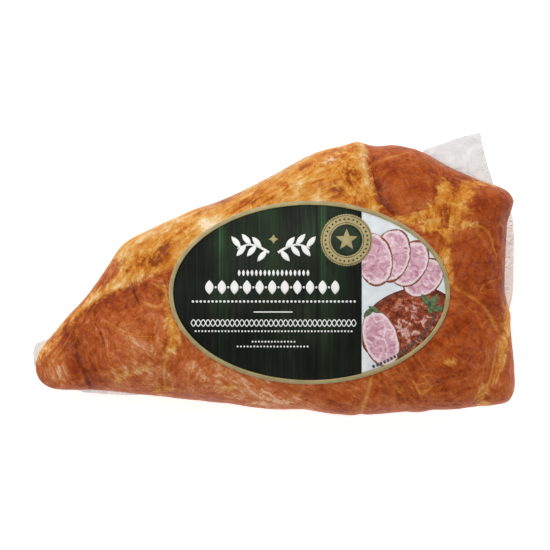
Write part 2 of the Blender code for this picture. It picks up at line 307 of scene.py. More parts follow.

# Painted shade and highlight: dark bands of shade below the fat cap's ridge, beside creases and along the
# right edge, and light bands of highlight along the ridge and a crease's lit side; half width, change of
# tone, then the points.
SHADE_AND_HIGHLIGHT_BANDS = (
    # Painted shadow below the fat cap's ridge.
    (2.6, -0.5, ((-115, -38), (-109, -29), (-103, -21), (-95, -16), (-86, -11.5), (-77, -8.5),
                 (-70, -5))),
    # Painted highlight along the fat cap's ridge.
    (1.5, 0.45, ((-110, -24), (-103, -16), (-94, -10), (-86, -6), (-78, -3.5), (-68, 0.5),
                 (-58, 5))),
    (2.0, -0.4, ((53, 62), (54, 50), (58, 38), (64, 33))),
    (1.8, 0.25, ((46.5, 72), (47.5, 60), (50, 48), (53, 38), (55, 31))),
    (2.5, -0.4, ((-62, -46), (-54, -50), (-50, -60))),
    (4.0, -0.35, ((-106, -36), (-102, -48), (-97, -62))),
    # Painted shade along the right edge, where the side turns away.
    (3.0, -0.35, ((125, 45), (123, 25), (124, 5), (122, -15))),
)

# Lobes cut across their fibres, which look smooth: centre, half length, half width, turn and strength.
SMOOTH_LOBES = (
    (69, 50, 20, 18, 0, 0.85),
    (114, 38, 14, 12, -20, 0.85),
    (110, 6, 16, 22, 0, 0.8),
    (102, -38, 22, 20, -20, 0.7),
)

# Direction of the meat's fibres in degrees, at places in plan.
FIBRES = (
    (-117, -50, -70), (-100, -45, -65), (-80, -20, -18), (-80, -35, -38), (-75, -52, -50),
    (-62, -8, -25), (-56, -35, 80), (-40, -54, 55), (-20, -62, -38), (10, -66, -35), (40, -68, -32),
    (66, -64, -60), (90, -64, 20), (100, -40, -40), (120, -55, 80), (116, -15, -10), (108, 7, 70),
    (114, 37, -25), (96, 50, -35), (69, 50, 15), (94, 30, 80), (75, 32, 15), (42, 56, -72),
    (25, 55, 20), (0, 46, 28), (-25, 38, 27), (-50, 26, 24), (-65, 10, 42), (-85, 0, 48),
    (-105, -18, 45), (-120, -34, 45), (0, 0, 20), (30, -30, -20), (60, 0, 60),
)

# Where the film stands off the meat: reach and height of that, reach and strength of the haze, and
# the points with the share of both at each.
BRIDGES = (
    (5.0, 1.3, 2.8, 0.75, ((-44, 33.5, 0), (-36, 38, 0.6), (-23, 44.5, 1), (0, 56, 1),
                           (14, 62.5, 0.7), (28, 68, 0))),
    (3.0, 0.5, 2.0, 0.4, ((-80, 14, 0), (-66, 23.5, 1), (-48, 32.5, 0.6), (-40, 36, 0))),
    (6.0, 4.2, 2.8, 0.03, ((129, 40, 0), (129.3, 28, 1), (129.3, -8, 1), (129, -24, 0))),
    (3.0, 1.0, 2.2, 0.05, ((129, -14, 0), (129.5, -26, 1), (130, -48, 0))),
    (3.0, 0.9, 1.8, 0.45, ((-127, -42, 0), (-118, -30, 1), (-105, -12, 1), (-90, 7, 0))),
    (3.0, 0.6, 2.2, 0.35, ((80, 66, 0), (92, 60, 1), (108, 53.5, 1), (122, 48, 0))),
)

# Heights, as shares of the rim's, between which the stand-off and the haze set in.
STAND_OFF_RISE = (0.2, 0.6)
HAZE_RISE = (0.6, 0.98)

# How far the meat lies under the film, and its hollows: size, seed and depth of each noise.
MEAT_INSET = 0.2
HOLLOWS = ((4, 5, 0.12), (11, 6, 0.14))

# Haze of the loose film, and how much of the meat's warm colour is painted into the haze as light from
# the meat.
SEAL_HAZE = 0.62
FOLD_HAZE = 0.2
STRIP_HAZE = 0.2
TIGHT_MEAT_LIGHT = 0.5
STRIP_MEAT_LIGHT = 0.9
MOST_HAZE = 0.9

# Loose film: edge, root and height of the seal's corner, the ear at the narrow end, the fold under the
# long edge and the strip at the thick end. Then the share of the way at which each sheet starts, its
# waves' half turns, its crumples' share of the waves and their size, and the first sheet's seed.
SEAL_CORNER = (
    (72, 58), (80.5, 67.5), (97, 73.5), (105, 75.8), (110.7, 76.9), (112.3, 68.6), (114.5, 59.5),
    (118, 49),
)
SEAL_ROOT = (88, 52)
SEAL_CORNER_HEIGHT = 47
EAR = ((-112, -36), (-123, -34.5), (-129.6, -37), (-131, -42), (-130.6, -49), (-112, -52))
EAR_ROOT = (-116, -44)
EAR_HEIGHT = 26
FOLD = ((-112, -60.5), (-104, -63.6), (-92, -64.6), (-80, -65.2), (-66, -64.6))
FOLD_ROOT = (-90, -60)
FOLD_HEIGHT = 22
STRIP = (
    (122, 41), (126, 37), (128.4, 31), (129, 22), (128.9, 8), (128.7, -4), (128, -13), (126, -20),
    (123, -24),
)
STRIP_ROOT = (106, 8)
STRIP_HEIGHT = 42
SHEET_START = 0.25
SHEET_FOLDS = (3, 7, 13)
SHEET_CRUMPLE = 0.6
SHEET_CRUMPLE_SIZE = 5
SHEET_SEED = 11

# How the front's patterns drift on the sides, between two heights, and how the back repeats them.
SIDE_LEVELS = (4, 32)
DRIFT_SIZE = 26
SIDE_DRIFT = 11
BACK_DRIFT = 3
BACK_SCALE = (0.92, -0.9)
BACK_SHIFT = (4, -8)

# Heights between which the back's patterns give way to the front's, made uneven by noise of a size, a
# seed and a share.
BACK_LEVELS = (1, 9)
BACK_EDGE = ((24, 7, 0.45), (7, 8, 0.15))

# Fibres: squeeze along them, tilt, shift between their patches, how far those patches' edges wander
# and in what size of noise, and the height below which they follow the back.
FIBRE_SQUEEZE = 0.9
FIBRE_TILT = -0.15
FIBRE_SHIFT = 37.0
FIBRE_WANDER = 5
FIBRE_WANDER_SIZE = 9
FIBRE_BACK = 10

# Largest distances that the fat, lean patches and lines keep.
FAT_CLIP = 12
LEAN_CLIP = 6
LINE_CLIP = 8.0

# The label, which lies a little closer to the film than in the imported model, and the lift of its print.
LABEL_THICKNESS = 0.3
LABEL_GAP = 0.12
PRINT_LIFT = 0.03

# Levels of print, each one lift higher, from the field to the border that closes over all of them.
FIELD_LEVEL, MARK_LEVEL, CUT_LEVEL, SLICE_LEVEL, LEAF_LEVEL = 1, 2, 3, 4, 9
SEAL_LEVEL, INK_LEVEL, STAR_LEVEL, BORDER_LEVEL = 9, 10, 11, 13

# Border: width, and its inner edge as a share of the label; then the line where the picture starts, its
# margin, and a place beyond the label's ends.
BORDER_WIDTH = 2.05
BORDER_INNER = 0.97
PICTURE_LEFT = 46.4
PICTURE_MARGIN = 0.15
PAST_LABEL = 200

# Seal: middle and radius, its teeth and half their height, then shares of the radius, the rings' half
# width, and the small marks' number and radii.
SEAL_CENTRE = (38.3, 18.7)
SEAL_RADIUS = 14.1
SEAL_TEETH = 60
SEAL_TOOTH = 0.22
SEAL_RINGS = (0.925, 0.66)
SEAL_FIELD = 0.6
SEAL_STAR = (0.44, 0.19)
SEAL_RING_WIDTH = 0.14
SEAL_MARKS = 30
SEAL_MARKS_OUT = 0.8
SEAL_MARK = (0.75, 0.4)

# Sprigs: middle of the pair, start and length of a stem, its rise, bend and drop, half width of a stem
# at its root and how much it thins, then place, half size and turn of a leaf, and the diamond's.
SPRIG_CENTRE = (-0.8, 14.6)
SPRIG_START = 2.4
SPRIG_LENGTH = 17
SPRIG_RISE = 4.2
SPRIG_BEND = 2.6
SPRIG_DROP = 2.6
SPRIG_WIDTH = 0.7
SPRIG_THINNING = 0.4
SPRIG_LEAF_PLACE = (2.0, 2.8)
SPRIG_LEAF = (3.9, 1.5)
SPRIG_LEAF_TURN = 50
DIAMOND_UP = 4.6
DIAMOND = (2.6, 1.3)

# Rows of upright leaves: height in plan, half height, half width, first and last leaf, and number.
LEAF_ROWS = (
    (1.1, 1.75, 0.72, -19.2, 17.6, 17),
    (-6.6, 3.8, 2.25, -35.2, 32.2, 11),
)

# Rows of beads: height in plan, radius, first and last bead, and number.
BEAD_ROWS = (
    (-6.6, 0.6, -31.83, 28.83, 10),
    (-14.2, 0.66, -44, 42.6, 42),
    (-30.1, 0.52, -42.5, 41, 48),
    (-35.7, 0.5, -12, 10.4, 14),
    (-38.3, 0.5, -20, 17.4, 22),
)

# Rule: ends, height in plan and half its own height.
RULE = (-11.5, 9.5, -19.8, 0.3)

# Crossed waves: ends, height in plan, swing, length of a wave and half width.
WAVE_ROW = (-45, 43.4, -25.7, 1.75, 5.2, 0.24)

# Dashes along the edge: first and last angle, step and length in degrees, share of the label's size
# and half width.
EDGE_DASHES = (-61.0, -14.0, 1.9, 1.15, 0.925, 0.8)

# Serving picture: wobble of its ovals, then their centre, half length, half width and turn in degrees.
PICTURE_WOBBLE = 0.02
PICTURE_JOINT = (71, -26, 27, 18, 24)
PICTURE_CUT_END = (56.5, -34, 9.5, 16, 18)
PICTURE_SLICES = (
    (79.5, -1.5, 9, 12.5, -50), (72, 6, 9.5, 13.5, -32), (62.5, 10.5, 10, 14.5, -12),
    (53, 8.5, 10, 14.5, 12),
)
PICTURE_LEAVES = (
    (85, -14, 4.6, 1.9, 60), (81, -13.5, 4.4, 1.8, 130), (87, -18, 4.0, 1.7, 5),
    (83, -17.5, 3.8, 1.6, 95), (50, -20, 3.6, 1.5, 40), (53, -18.5, 3.6, 1.4, 150),
)

# Boards: place across, half width, strength, and 1 for a light line or 0 for a dark one.
PLANK_SEAMS = (
    (-29.0, 4.5, 0.22, 1), (-4.0, 12.0, 0.1, 1), (26.0, 3.5, 0.24, 1), (35.0, 7.0, 0.16, 1),
    (-42.4, 0.5, 0.6, 0), (-30.9, 0.5, 0.65, 0), (-9.0, 0.4, 0.5, 0), (22.6, 0.9, 0.5, 0),
    (-42.0, 0.35, 0.2, 1), (-29.5, 0.6, 0.6, 1), (-28.0, 0.3, 0.3, 1), (-8.2, 0.3, 0.22, 1),
    (25.0, 0.35, 0.6, 1), (26.6, 0.3, 0.4, 1), (12.0, 0.3, 0.14, 1), (-17.0, 0.3, 0.12, 1),
)

# Camera: pixels and millimetres a pixel of the picture, the height it is scaled at, and its sensor.
IMAGE_PIXELS = 550
PIXEL_SIZE = 0.54
VIEW_LEVEL = 40
SENSOR_WIDTH = 36

# Stage: half width of the floor in metres, how far it lies below the pack, and its own light.
FLOOR_HALF = 4
FLOOR_DROP = 0.2
FLOOR_LIGHT = 0.66

# Lights: place and size in metres, and the side light's share of the key light's power.
KEY_LIGHT = ((-0.55, 0.95, 1.7), 1.3)
SIDE_LIGHT = ((1.3, -0.5, 1.2), 1.2)
SIDE_LIGHT_SHARE = 0.22


def smooth_step(value, low, high):
    """0 below low, 1 above high, and a smooth rise between."""
    t = np.clip((value - low) / (high - low), 0, 1)
    return t * t * (3 - 2 * t)


def turned_table(table, theta):
    """Value of a table over direction, run round the full circle."""
    degrees, values = zip(*table)
    return np.interp(np.degrees(theta), degrees, values, period=360)


def closed_curve(points, steps):
    """Smooth closed curve through the points: cubic stretches, tangents by the length of the chords."""
    p = np.array(points, float)
    ahead, behind = np.roll(p, -1, axis=0), np.roll(p, 1, axis=0)
    chord = np.linalg.norm(ahead - p, axis=1)
    tangent = (ahead - behind) / (chord + np.roll(chord, 1))[:, None]
    end_tangent = np.roll(tangent, -1, axis=0)
    t = (np.arange(steps) / steps)[None, :, None]
    span = chord[:, None, None]
    curve = (
        (2 * t**3 - 3 * t**2 + 1) * p[:, None]
        + (t**3 - 2 * t**2 + t) * span * tangent[:, None]
        + (3 * t**2 - 2 * t**3) * ahead[:, None]
        + (t**3 - t**2) * span * end_tangent[:, None]
    )
    return curve.reshape(-1, 2)


def outline_directions(count):
    """Directions from the centre to points along the outline, closer together where it turns."""
    curve = closed_curve(OUTLINE, OUTLINE_STEPS)
    closed = np.vstack([curve, curve[:1]])
    steps = np.diff(closed, axis=0)
    heading = np.arctan2(steps[:, 1], steps[:, 0])
    turns = np.abs(np.angle(np.exp(1j * (np.roll(heading, -1) - heading))))
    along = np.concatenate([[0], np.cumsum(np.linalg.norm(steps, axis=1) + TURN_SHARE * turns)])
    at = np.arange(count) / count * along[-1]
    x = np.interp(at, along, closed[:, 0]) - CENTRE[0]
    y = np.interp(at, along, closed[:, 1]) - CENTRE[1]
    return np.arctan2(y, x)


def reach(theta):
    """Distance from the centre to the outline in a direction."""
    offset = closed_curve(OUTLINE, OUTLINE_STEPS) - CENTRE
    directions = np.arctan2(offset[:, 1], offset[:, 0])
    order = np.argsort(directions)
    distances = np.linalg.norm(offset, axis=1)
    return np.interp(theta, directions[order], distances[order], period=2 * math.pi)


def crown(x, y):
    """Height of the front face before its shoulders fall away: a dome, flatter to the right."""
    fall = np.where(x < CROWN_X, FALL_LEFT, FALL_RIGHT) * (x - CROWN_X) ** 2
    return CROWN_HEIGHT - fall - FALL_ACROSS * (y - CENTRE[1]) ** 2


def base_form(theta, phi):
    """Pillow over the outline: each spoke is a superellipse, square to the rim, with a flat base."""
    upper = phi <= math.pi / 2 + 1e-9
    power = np.where(upper, turned_table(SHOULDERS, theta), BASE_SHOULDER)
    out, up = np.sin(phi), np.abs(np.cos(phi))
    scale = (out**power + up**power) ** (-1 / power)
    share, lift = out * scale, up * scale
    x = CENTRE[0] + share * reach(theta) * np.cos(theta)
    y = CENTRE[1] + share * reach(theta) * np.sin(theta)
    rim = turned_table(RIM_HEIGHTS, theta)
    z_upper = rim + (crown(x, y) - rim) * lift
    z_lower = rim * (1 - BASE_FLATTENING * lift)
    return np.stack([x, y, np.where(upper, z_upper, z_lower)], axis=-1)


def even_levels(theta, rings):
    """Angles from the top pole to the bottom pole that are evenly spaced along the average spoke."""
    fine = np.linspace(0, math.pi, SPOKE_STEPS)
    points = base_form(*np.broadcast_arrays(theta[None, :], fine[:, None]))
    steps = np.linalg.norm(np.diff(points, axis=0), axis=-1).mean(axis=1)
    along = np.concatenate([[0], np.cumsum(steps)])
    return np.interp(np.linspace(0, along[-1], rings + 1), along, fine)


def front_height(x, y):
    """Height of the bare front face at a point in plan."""
    dx, dy = x - CENTRE[0], y - CENTRE[1]
    theta = np.arctan2(dy, dx)
    share = np.hypot(dx, dy) / reach(theta)
    power = turned_table(SHOULDERS, theta)
    lift = (1 - share**power) ** (1 / power)
    rim = turned_table(RIM_HEIGHTS, theta)
    return rim + (crown(x, y) - rim) * lift


def outward(grid):
    """Unit normals of a closed grid of rings and spokes, pointing out."""
    across = np.roll(grid, -1, axis=1) - np.roll(grid, 1, axis=1)
    normal = np.cross(np.gradient(grid, axis=0), across)
    normal = normal / np.maximum(np.linalg.norm(normal, axis=-1, keepdims=True), 1e-9)
    normal[0], normal[-1] = (0, 0, 1), (0, 0, -1)
    return normal


def path_distance(x, y, path):
    """Distance in plan to a path, the side (+ on its left), and the path's third value there."""
    best = np.full(x.shape, 1e9)
    side = np.zeros(x.shape)
    value = np.zeros(x.shape)
    for (ax, ay, *av), (bx, by, *bv) in zip(path, path[1:]):
        dx, dy = bx - ax, by - ay
        t = np.clip(((x - ax) * dx + (y - ay) * dy) / (dx * dx + dy * dy), 0, 1)
        distance = np.hypot(x - ax - t * dx, y - ay - t * dy)
        nearer = distance < best
        side = np.where(nearer, np.sign(dx * (y - ay) - dy * (x - ax)), side)
        if av:
            value = np.where(nearer, av[0] + t * (bv[0] - av[0]), value)
        best = np.minimum(best, distance)
    return best, side, value


def oval_reach(x, y, patch):
    """Distance from the middle of an oval patch as a share of its half size: 1 on its edge."""
    cx, cy, length, width, turn = patch[:5]
    c, s = math.cos(math.radians(turn)), math.sin(math.radians(turn))
    u, v = c * (x - cx) + s * (y - cy), c * (y - cy) - s * (x - cx)
    return np.hypot(u / length, v / width)


def lattice_noise(p, size, seed):
    """Value noise from -1 to 1: random values on a cubic lattice of this size, blended smoothly."""
    table = np.random.default_rng(seed).uniform(-1, 1, (LATTICE, LATTICE, LATTICE))
    q = p / size
    cell = np.floor(q).astype(int)
    t = q - cell
    t = t * t * (3 - 2 * t)
    total = np.zeros(p.shape[:-1])
    for corner in np.ndindex(2, 2, 2):
        weight = np.prod(np.where(corner, t, 1 - t), axis=-1)
        at = (cell + corner) % LATTICE
        total += weight * table[at[..., 0], at[..., 1], at[..., 2]]
    return total


def muscle_relief(p):
    """Bulge of the nearest muscle: full at its middle and none at its edge."""
    nearest = np.full(p.shape[:-1], 9.0)
    for cx, cy, cz, length, width, height, turn in MUSCLES:
        across = oval_reach(p[..., 0], p[..., 1], (cx, cy, length, width, turn))
        nearest = np.minimum(nearest, across**2 + ((p[..., 2] - cz) / height) ** 2)
    return MUSCLE_BULGE * np.clip(1 - nearest, 0, 1)


def beside_label(p):
    """0 under the label, where the film is drawn smooth, and 1 away from it."""
    label = (*LABEL_CENTRE, LABEL_HALF_LENGTH, LABEL_HALF_WIDTH, 0)
    away = smooth_step(oval_reach(p[..., 0], p[..., 1], label), *LABEL_CALM)
    return np.maximum(away, 1 - smooth_step(p[..., 2], *LABEL_LEVELS))


def relief(p, phi):
    """Muscles, the step of the fat cap and creases, low at the rim and none on the rest face."""
    x, y = p[..., 0], p[..., 1]
    on_front = smooth_step(p[..., 2], *FRONT_LEVELS)
    distance, side, _ = path_distance(x, y, FAT_STEP_EDGE)
    front = FAT_STEP * smooth_step(side * distance, -FAT_STEP_WIDTH / 2, FAT_STEP_WIDTH / 2)
    for depth, half_width, path in CREASES:
        distance, _, _ = path_distance(x, y, path)
        front = front - depth * np.exp(-((distance / half_width) ** 2))
    from_rim = smooth_step(np.abs(np.cos(phi)), *RIM_FADE)
    on_rim = RIM_RELIEF + (1 - RIM_RELIEF) * from_rim
    share = on_rim * smooth_step(p[..., 2], *REST_LEVELS) * beside_label(p)
    return (muscle_relief(p) + front * on_front) * share


def bridging(x, y):
    """How far the film stands off the meat where it bridges, and how hazy it is there."""
    stand_off = np.zeros(x.shape)
    haze = np.zeros(x.shape)
    for reach_off, depth, reach_haze, strength, path in BRIDGES:
        distance, _, share = path_distance(x, y, path)
        stand_off = np.maximum(stand_off, share * depth * np.exp(-((distance / reach_off) ** 2)))
        haze = np.maximum(haze, share * strength * np.exp(-((distance / reach_haze) ** 2)))
    return stand_off, haze


def rim_share(p):
    """Height as a share of the height at which the pack is widest in that direction."""
    theta = np.arctan2(p[..., 1] - CENTRE[1], p[..., 0] - CENTRE[0])
    return p[..., 2] / turned_table(RIM_HEIGHTS, theta)


def line_field(x, y, lines):
    """Distance to the nearest line in its own half widths, with a minus on its right side."""
    nearest = np.full(x.shape, LINE_CLIP)
    for line in lines:
        distance, side, half_width = path_distance(x, y, line)
        widths = distance / half_width
        nearest = np.where(widths < np.abs(nearest), np.where(side < 0, -1, 1) * widths, nearest)
    return nearest


def tone_and_shade_field(x, y):
    """Sum of the soft ovals of tone, some of them painted shade beside creases, and of the bands of
    painted shade and highlight along paths.
    """
    tone = oval_sum(x, y, TONES_AND_SHADE)
    for half_width, strength, path in SHADE_AND_HIGHLIGHT_BANDS:
        distance, _, _ = path_distance(x, y, path)
        tone = tone + strength * np.exp(-((distance / half_width) ** 2))
    return tone


def fat_field(x, y):
    """Millimetres into the fat, negative in the lean: the cap, seams and patches, less lean patches."""
    distance, side, _ = path_distance(x, y, FAT_LINE)
    field = np.clip(side * distance, -FAT_CLIP, FAT_CLIP)
    for patch in LEAN_PATCHES:
        inside = (1 - oval_reach(x, y, patch)) * patch[3]
        field = np.minimum(field, np.maximum(-inside, -LEAN_CLIP))
    for seam in SEAMS:
        distance, _, half_width = path_distance(x, y, seam)
        field = np.maximum(field, half_width - distance)
    for patch in FAT_PATCHES:
        field = np.maximum(field, (1 - oval_reach(x, y, patch)) * patch[3])
    return np.clip(field, -FAT_CLIP, FAT_CLIP)


def oval_sum(x, y, ovals):
    """Sum of soft ovals, each with its strength in its last value."""
    return sum(oval[5] * np.exp(-(oval_reach(x, y, oval) ** 2)) for oval in ovals)


def plan_views(p):
    """Where points look up the pattern: place in plan with a drift down the sides, and the back's."""
    sway = 1 - smooth_step(p[..., 2], *SIDE_LEVELS)
    drift = np.stack([lattice_noise(p, DRIFT_SIZE, seed) for seed in (1, 2)], axis=-1)
    front = p[..., :2] + SIDE_DRIFT * sway[..., None] * drift
    back = p[..., :2] * BACK_SCALE + BACK_SHIFT + BACK_DRIFT * drift
    return front, back


def blended(function, p):
    """A plan pattern on the whole skin: the front's on front and sides, a mirrored one on the back."""
    front, back = plan_views(p)
    uneven = sum(share * lattice_noise(p, size, seed) for size, seed, share in BACK_EDGE)
    share = 1 - smooth_step(p[..., 2] * (1 + uneven), *BACK_LEVELS)
    here = function(front[..., 0], front[..., 1])
    there = function(back[..., 0], back[..., 1])
    return here * (1 - share) + there * share


def grid_faces(rings, spokes):
    """Faces of a closed grid with a pole at each end: quads between rings, triangles at the poles."""
    ring, spoke = np.meshgrid(np.arange(rings - 2), np.arange(spokes), indexing="ij")
    here, beside = 1 + ring * spokes + spoke, 1 + ring * spokes + (spoke + 1) % spokes
    quads = np.stack([here, here + spokes, beside + spokes, beside], axis=-1).reshape(-1, 4)
    at = np.arange(spokes)
    first = np.stack([np.zeros_like(at), 1 + at, 1 + (at + 1) % spokes], axis=-1)
    low = 1 + (rings - 2) * spokes
    last = np.stack([np.full_like(at, low + spokes), low + (at + 1) % spokes, low + at], axis=-1)
    return quads, np.vstack([first, last])


def mesh_from(name, points, face_groups):
    """Mesh in metres from points in millimetres and arrays of faces of one size each."""
    mesh = bpy.data.meshes.new(name)
    corners = np.concatenate([faces.ravel() for faces in face_groups])
    sizes = np.concatenate([np.full(len(faces), faces.shape[1]) for faces in face_groups])
    mesh.vertices.add(len(points))
    mesh.vertices.foreach_set("co", (points * MM).astype(np.float32).ravel())
    mesh.loops.add(len(corners))
    mesh.loops.foreach_set("vertex_index", corners.astype(np.int32))
    mesh.polygons.add(len(sizes))
    starts = np.concatenate([[0], np.cumsum(sizes)[:-1]])
    mesh.polygons.foreach_set("loop_start", starts.astype(np.int32))
    mesh.update(calc_edges=True)
    mesh.validate()
    mesh.shade_smooth()
    return mesh


def add_piece(name, mesh, material, node):
    """Puts a mesh in the scene: it rides the pack, stands for a node and takes a slot's finish."""
    piece = bpy.data.objects.new(name, mesh)
    bpy.context.scene.collection.objects.link(piece)
    mesh.materials.append(material)
    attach(piece, "root")
    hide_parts(node)
    return piece


def closed_grid_points(grid):
    """Points of a ring and spoke grid with one point at each pole."""
    return np.vstack([grid[0, :1], grid[1:-1].reshape(-1, 3), grid[-1, :1]])


def point_attribute(mesh, name, values):
    """Stores one number for each point of a mesh."""
    made = mesh.attributes.new(name, "FLOAT", "POINT")
    made.data.foreach_set("value", values.astype(np.float32).ravel())


def fibre_attribute(mesh, points):
    """Stores for each corner its place in millimetres, squeezed along the nearest fibre direction."""
    corners = np.empty(len(mesh.loops), np.int32)
    mesh.loops.foreach_get("vertex_index", corners)
    totals = np.empty(len(mesh.polygons), np.int32)
    mesh.polygons.foreach_get("loop_total", totals)
    face_of = np.repeat(np.arange(len(totals)), totals)
    p = points[corners]
    middle = np.stack([np.bincount(face_of, p[:, k]) / totals for k in range(3)], axis=-1)
    front, back = plan_views(middle)
    place = np.where(middle[:, 2:] < FIBRE_BACK, back, front)
    seeds = np.array(FIBRES, float)
    wander = np.stack([lattice_noise(middle, FIBRE_WANDER_SIZE, seed) for seed in (3, 4)], axis=-1)
    offset = (place + FIBRE_WANDER * wander)[:, None] - seeds[None, :, :2]
    nearest = np.linalg.norm(offset, axis=-1).argmin(axis=1)
    turn = np.radians(seeds[nearest, 2])[face_of]
    along = np.stack([np.cos(turn), np.sin(turn), np.full(len(turn), FIBRE_TILT)], axis=-1)
    squeezed = p - FIBRE_SQUEEZE * (p * along).sum(axis=1, keepdims=True) * along
    squeezed += FIBRE_SHIFT * nearest[face_of][:, None]
    made = mesh.attributes.new("fibre", "FLOAT_VECTOR", "CORNER")
    made.data.foreach_set("vector", squeezed.astype(np.float32).ravel())


def smooth_mask(tree, value, low, high):
    """Mask from 0 at low to 1 at high with a smooth rise."""
    node = tree.add("ShaderNodeMapRange", {"Value": value, "From Min": low, "From Max": high},
                    interpolation_type="SMOOTHSTEP")
    return node.outputs["Result"]


class Tree:
    """Short calls that add nodes to a node tree and join them."""

    def __init__(self, nodes):
        self.nodes = nodes

    def add(self, kind, inputs=None, **settings):
        """Adds a node: an input is either another node's output or a constant."""
        node = self.nodes.nodes.new(kind)
        for name, value in settings.items():
            setattr(node, name, value)
        for key, value in (inputs or {}).items():
            if isinstance(value, bpy.types.NodeSocket):
                self.nodes.links.new(value, node.inputs[key])
            else:
                node.inputs[key].default_value = value
        return node

    def math(self, operation, first, second=0.0, third=0.0):
        """Output of a Math node."""
        inputs = {0: first, 1: second, 2: third}
        return self.add("ShaderNodeMath", inputs, operation=operation).outputs[0]

    def parts(self, vector):
        """The X, Y and Z of a vector."""
        return self.add("ShaderNodeSeparateXYZ", {"Vector": vector}).outputs

    def facing(self):
        """0 where the surface faces the view and 1 on its outline, for gloss and clear film."""
        return self.add("ShaderNodeLayerWeight", {"Blend": 0.5}).outputs["Facing"]

    def weighted(self, start, *terms):
        """Start plus the sum of each value times its weight."""
        total = start
        for value, weight in terms:
            total = self.math("MULTIPLY_ADD", value, weight, total)
        return total

    def mix(self, share, first, second, blend="MIX"):
        """Colour between two colours."""
        inputs = {0: share, 6: first, 7: second}
        node = self.add("ShaderNodeMix", inputs, data_type="RGBA", blend_type=blend)
        return node.outputs[2]

    def ramp(self, value, stops):
        """Colour read from a ramp of positions and colours."""
        node = self.add("ShaderNodeValToRGB", {"Fac": value})
        elements = node.color_ramp.elements
        while len(elements) < len(stops):
            elements.new(0.5)
        for element, (position, colour) in zip(elements, stops):
            element.position = position
            element.color = colour
        return node.outputs["Color"]

    def attribute(self, name, output="Fac"):
        """Value kept on the mesh."""
        return self.add("ShaderNodeAttribute", attribute_name=name).outputs[output]

    def place(self):
        """Place on the object in millimetres."""
        coordinates = self.add("ShaderNodeTexCoord").outputs["Object"]
        scale = (1 / MM, 1 / MM, 1 / MM)
        return self.add("ShaderNodeMapping", {"Vector": coordinates, "Scale": scale}).outputs[0]

    def group(self, name, **inputs):
        """Places a shared group with its own values."""
        node = self.add("ShaderNodeGroup", node_tree=bpy.data.node_groups[name])
        for key, value in inputs.items():
            socket = node.inputs[key.replace("_", " ").capitalize()]
            if isinstance(value, bpy.types.NodeSocket):
                self.nodes.links.new(value, socket)
            else:
                socket.default_value = value
        return node.outputs


def srgb(red, green, blue):
    """Linear colour from the 0 to 255 values of a screen colour."""
    screen = np.array([red, green, blue]) / 255
    linear = np.where(screen <= 0.04045, screen / 12.92, ((screen + 0.055) / 1.055) ** 2.4)
    return (*linear.tolist(), 1.0)


def new_group(name, inputs, outputs):
    """Empty shader group with named sockets: its tree, and its input and output nodes' sockets."""
    nodes = bpy.data.node_groups.new(name, "ShaderNodeTree")
    for label, kind in inputs:
        nodes.interface.new_socket(label, in_out="INPUT", socket_type=kind)
    for label in outputs:
        nodes.interface.new_socket(label, in_out="OUTPUT", socket_type="NodeSocketFloat")
    tree = Tree(nodes)
    return tree, tree.add("NodeGroupInput").outputs, tree.add("NodeGroupOutput").inputs


def build_groups():
    """Effects that several materials share: mottling, fibres and the wrinkles of film."""
    if "Mottle" in bpy.data.node_groups:
        return
    number, vector = "NodeSocketFloat", "NodeSocketVector"
    tree, given, result = new_group(
        "Mottle", (("Place", vector), ("Size", number), ("Detail", number), ("Swirl", number)),
        ("Value",))
    scale = tree.math("DIVIDE", 1.0, given["Size"])
    noise = tree.add("ShaderNodeTexNoise", {
        "Vector": given["Place"], "Scale": scale, "Detail": given["Detail"],
        "Distortion": given["Swirl"]})
    tree.nodes.links.new(smooth_mask(tree, noise.outputs["Fac"], 0.28, 0.72), result["Value"])

    tree, given, result = new_group(
        "Fibres", (("Place", vector), ("Width", number)), ("Streak", "Line"))
    scale = tree.math("DIVIDE", 1.0, given["Width"])
    noise = tree.add("ShaderNodeTexNoise", {
        "Vector": given["Place"], "Scale": scale, "Detail": 4.0, "Distortion": 0.6})
    tree.nodes.links.new(smooth_mask(tree, noise.outputs["Fac"], 0.3, 0.7), result["Streak"])
    finer = tree.math("MULTIPLY", scale, 1.9)
    noise = tree.add("ShaderNodeTexNoise", {
        "Vector": given["Place"], "Scale": finer, "Detail": 2.0, "Distortion": 1.2})
    off_middle = tree.math("ABSOLUTE", tree.math("SUBTRACT", noise.outputs["Fac"], 0.5))
    tree.nodes.links.new(smooth_mask(tree, off_middle, 0.045, 0.0), result["Line"])

    tree, given, result = new_group(
        "Film wrinkles", (("Place", vector), ("Size", number)), ("Wrinkle", "Height"))
    scale = tree.math("DIVIDE", 1.0, given["Size"])
    noise = tree.add("ShaderNodeTexNoise", {
        "Vector": given["Place"], "Scale": scale, "Detail": 3.0, "Distortion": 1.5})
    off_middle = tree.math("ABSOLUTE", tree.math("SUBTRACT", noise.outputs["Fac"], 0.5))
    tree.nodes.links.new(smooth_mask(tree, off_middle, 0.03, 0.0), result["Wrinkle"])
    tree.nodes.links.new(noise.outputs["Fac"], result["Height"])


def new_material(name):
    """Empty node material: the material, its tree and its Principled shader joined to the output."""
    material = bpy.data.materials.new(name)
    material.use_nodes = True
    material.node_tree.nodes.clear()
    tree = Tree(material.node_tree)
    shader = tree.add("ShaderNodeBsdfPrincipled")
    output = tree.add("ShaderNodeOutputMaterial")
    tree.nodes.links.new(shader.outputs[0], output.inputs["Surface"])
    return material, tree, shader


def finish_shader(tree, shader, specular, **inputs):
    """Sets the Principled shader's specular level and joins its other inputs or sets constants."""
    shader.inputs["Specular IOR Level"].default_value = specular
    for key, value in inputs.items():
        socket = shader.inputs[key.replace("_", " ").title()]
        if isinstance(value, bpy.types.NodeSocket):
            tree.nodes.links.new(value, socket)
        else:
            socket.default_value = value


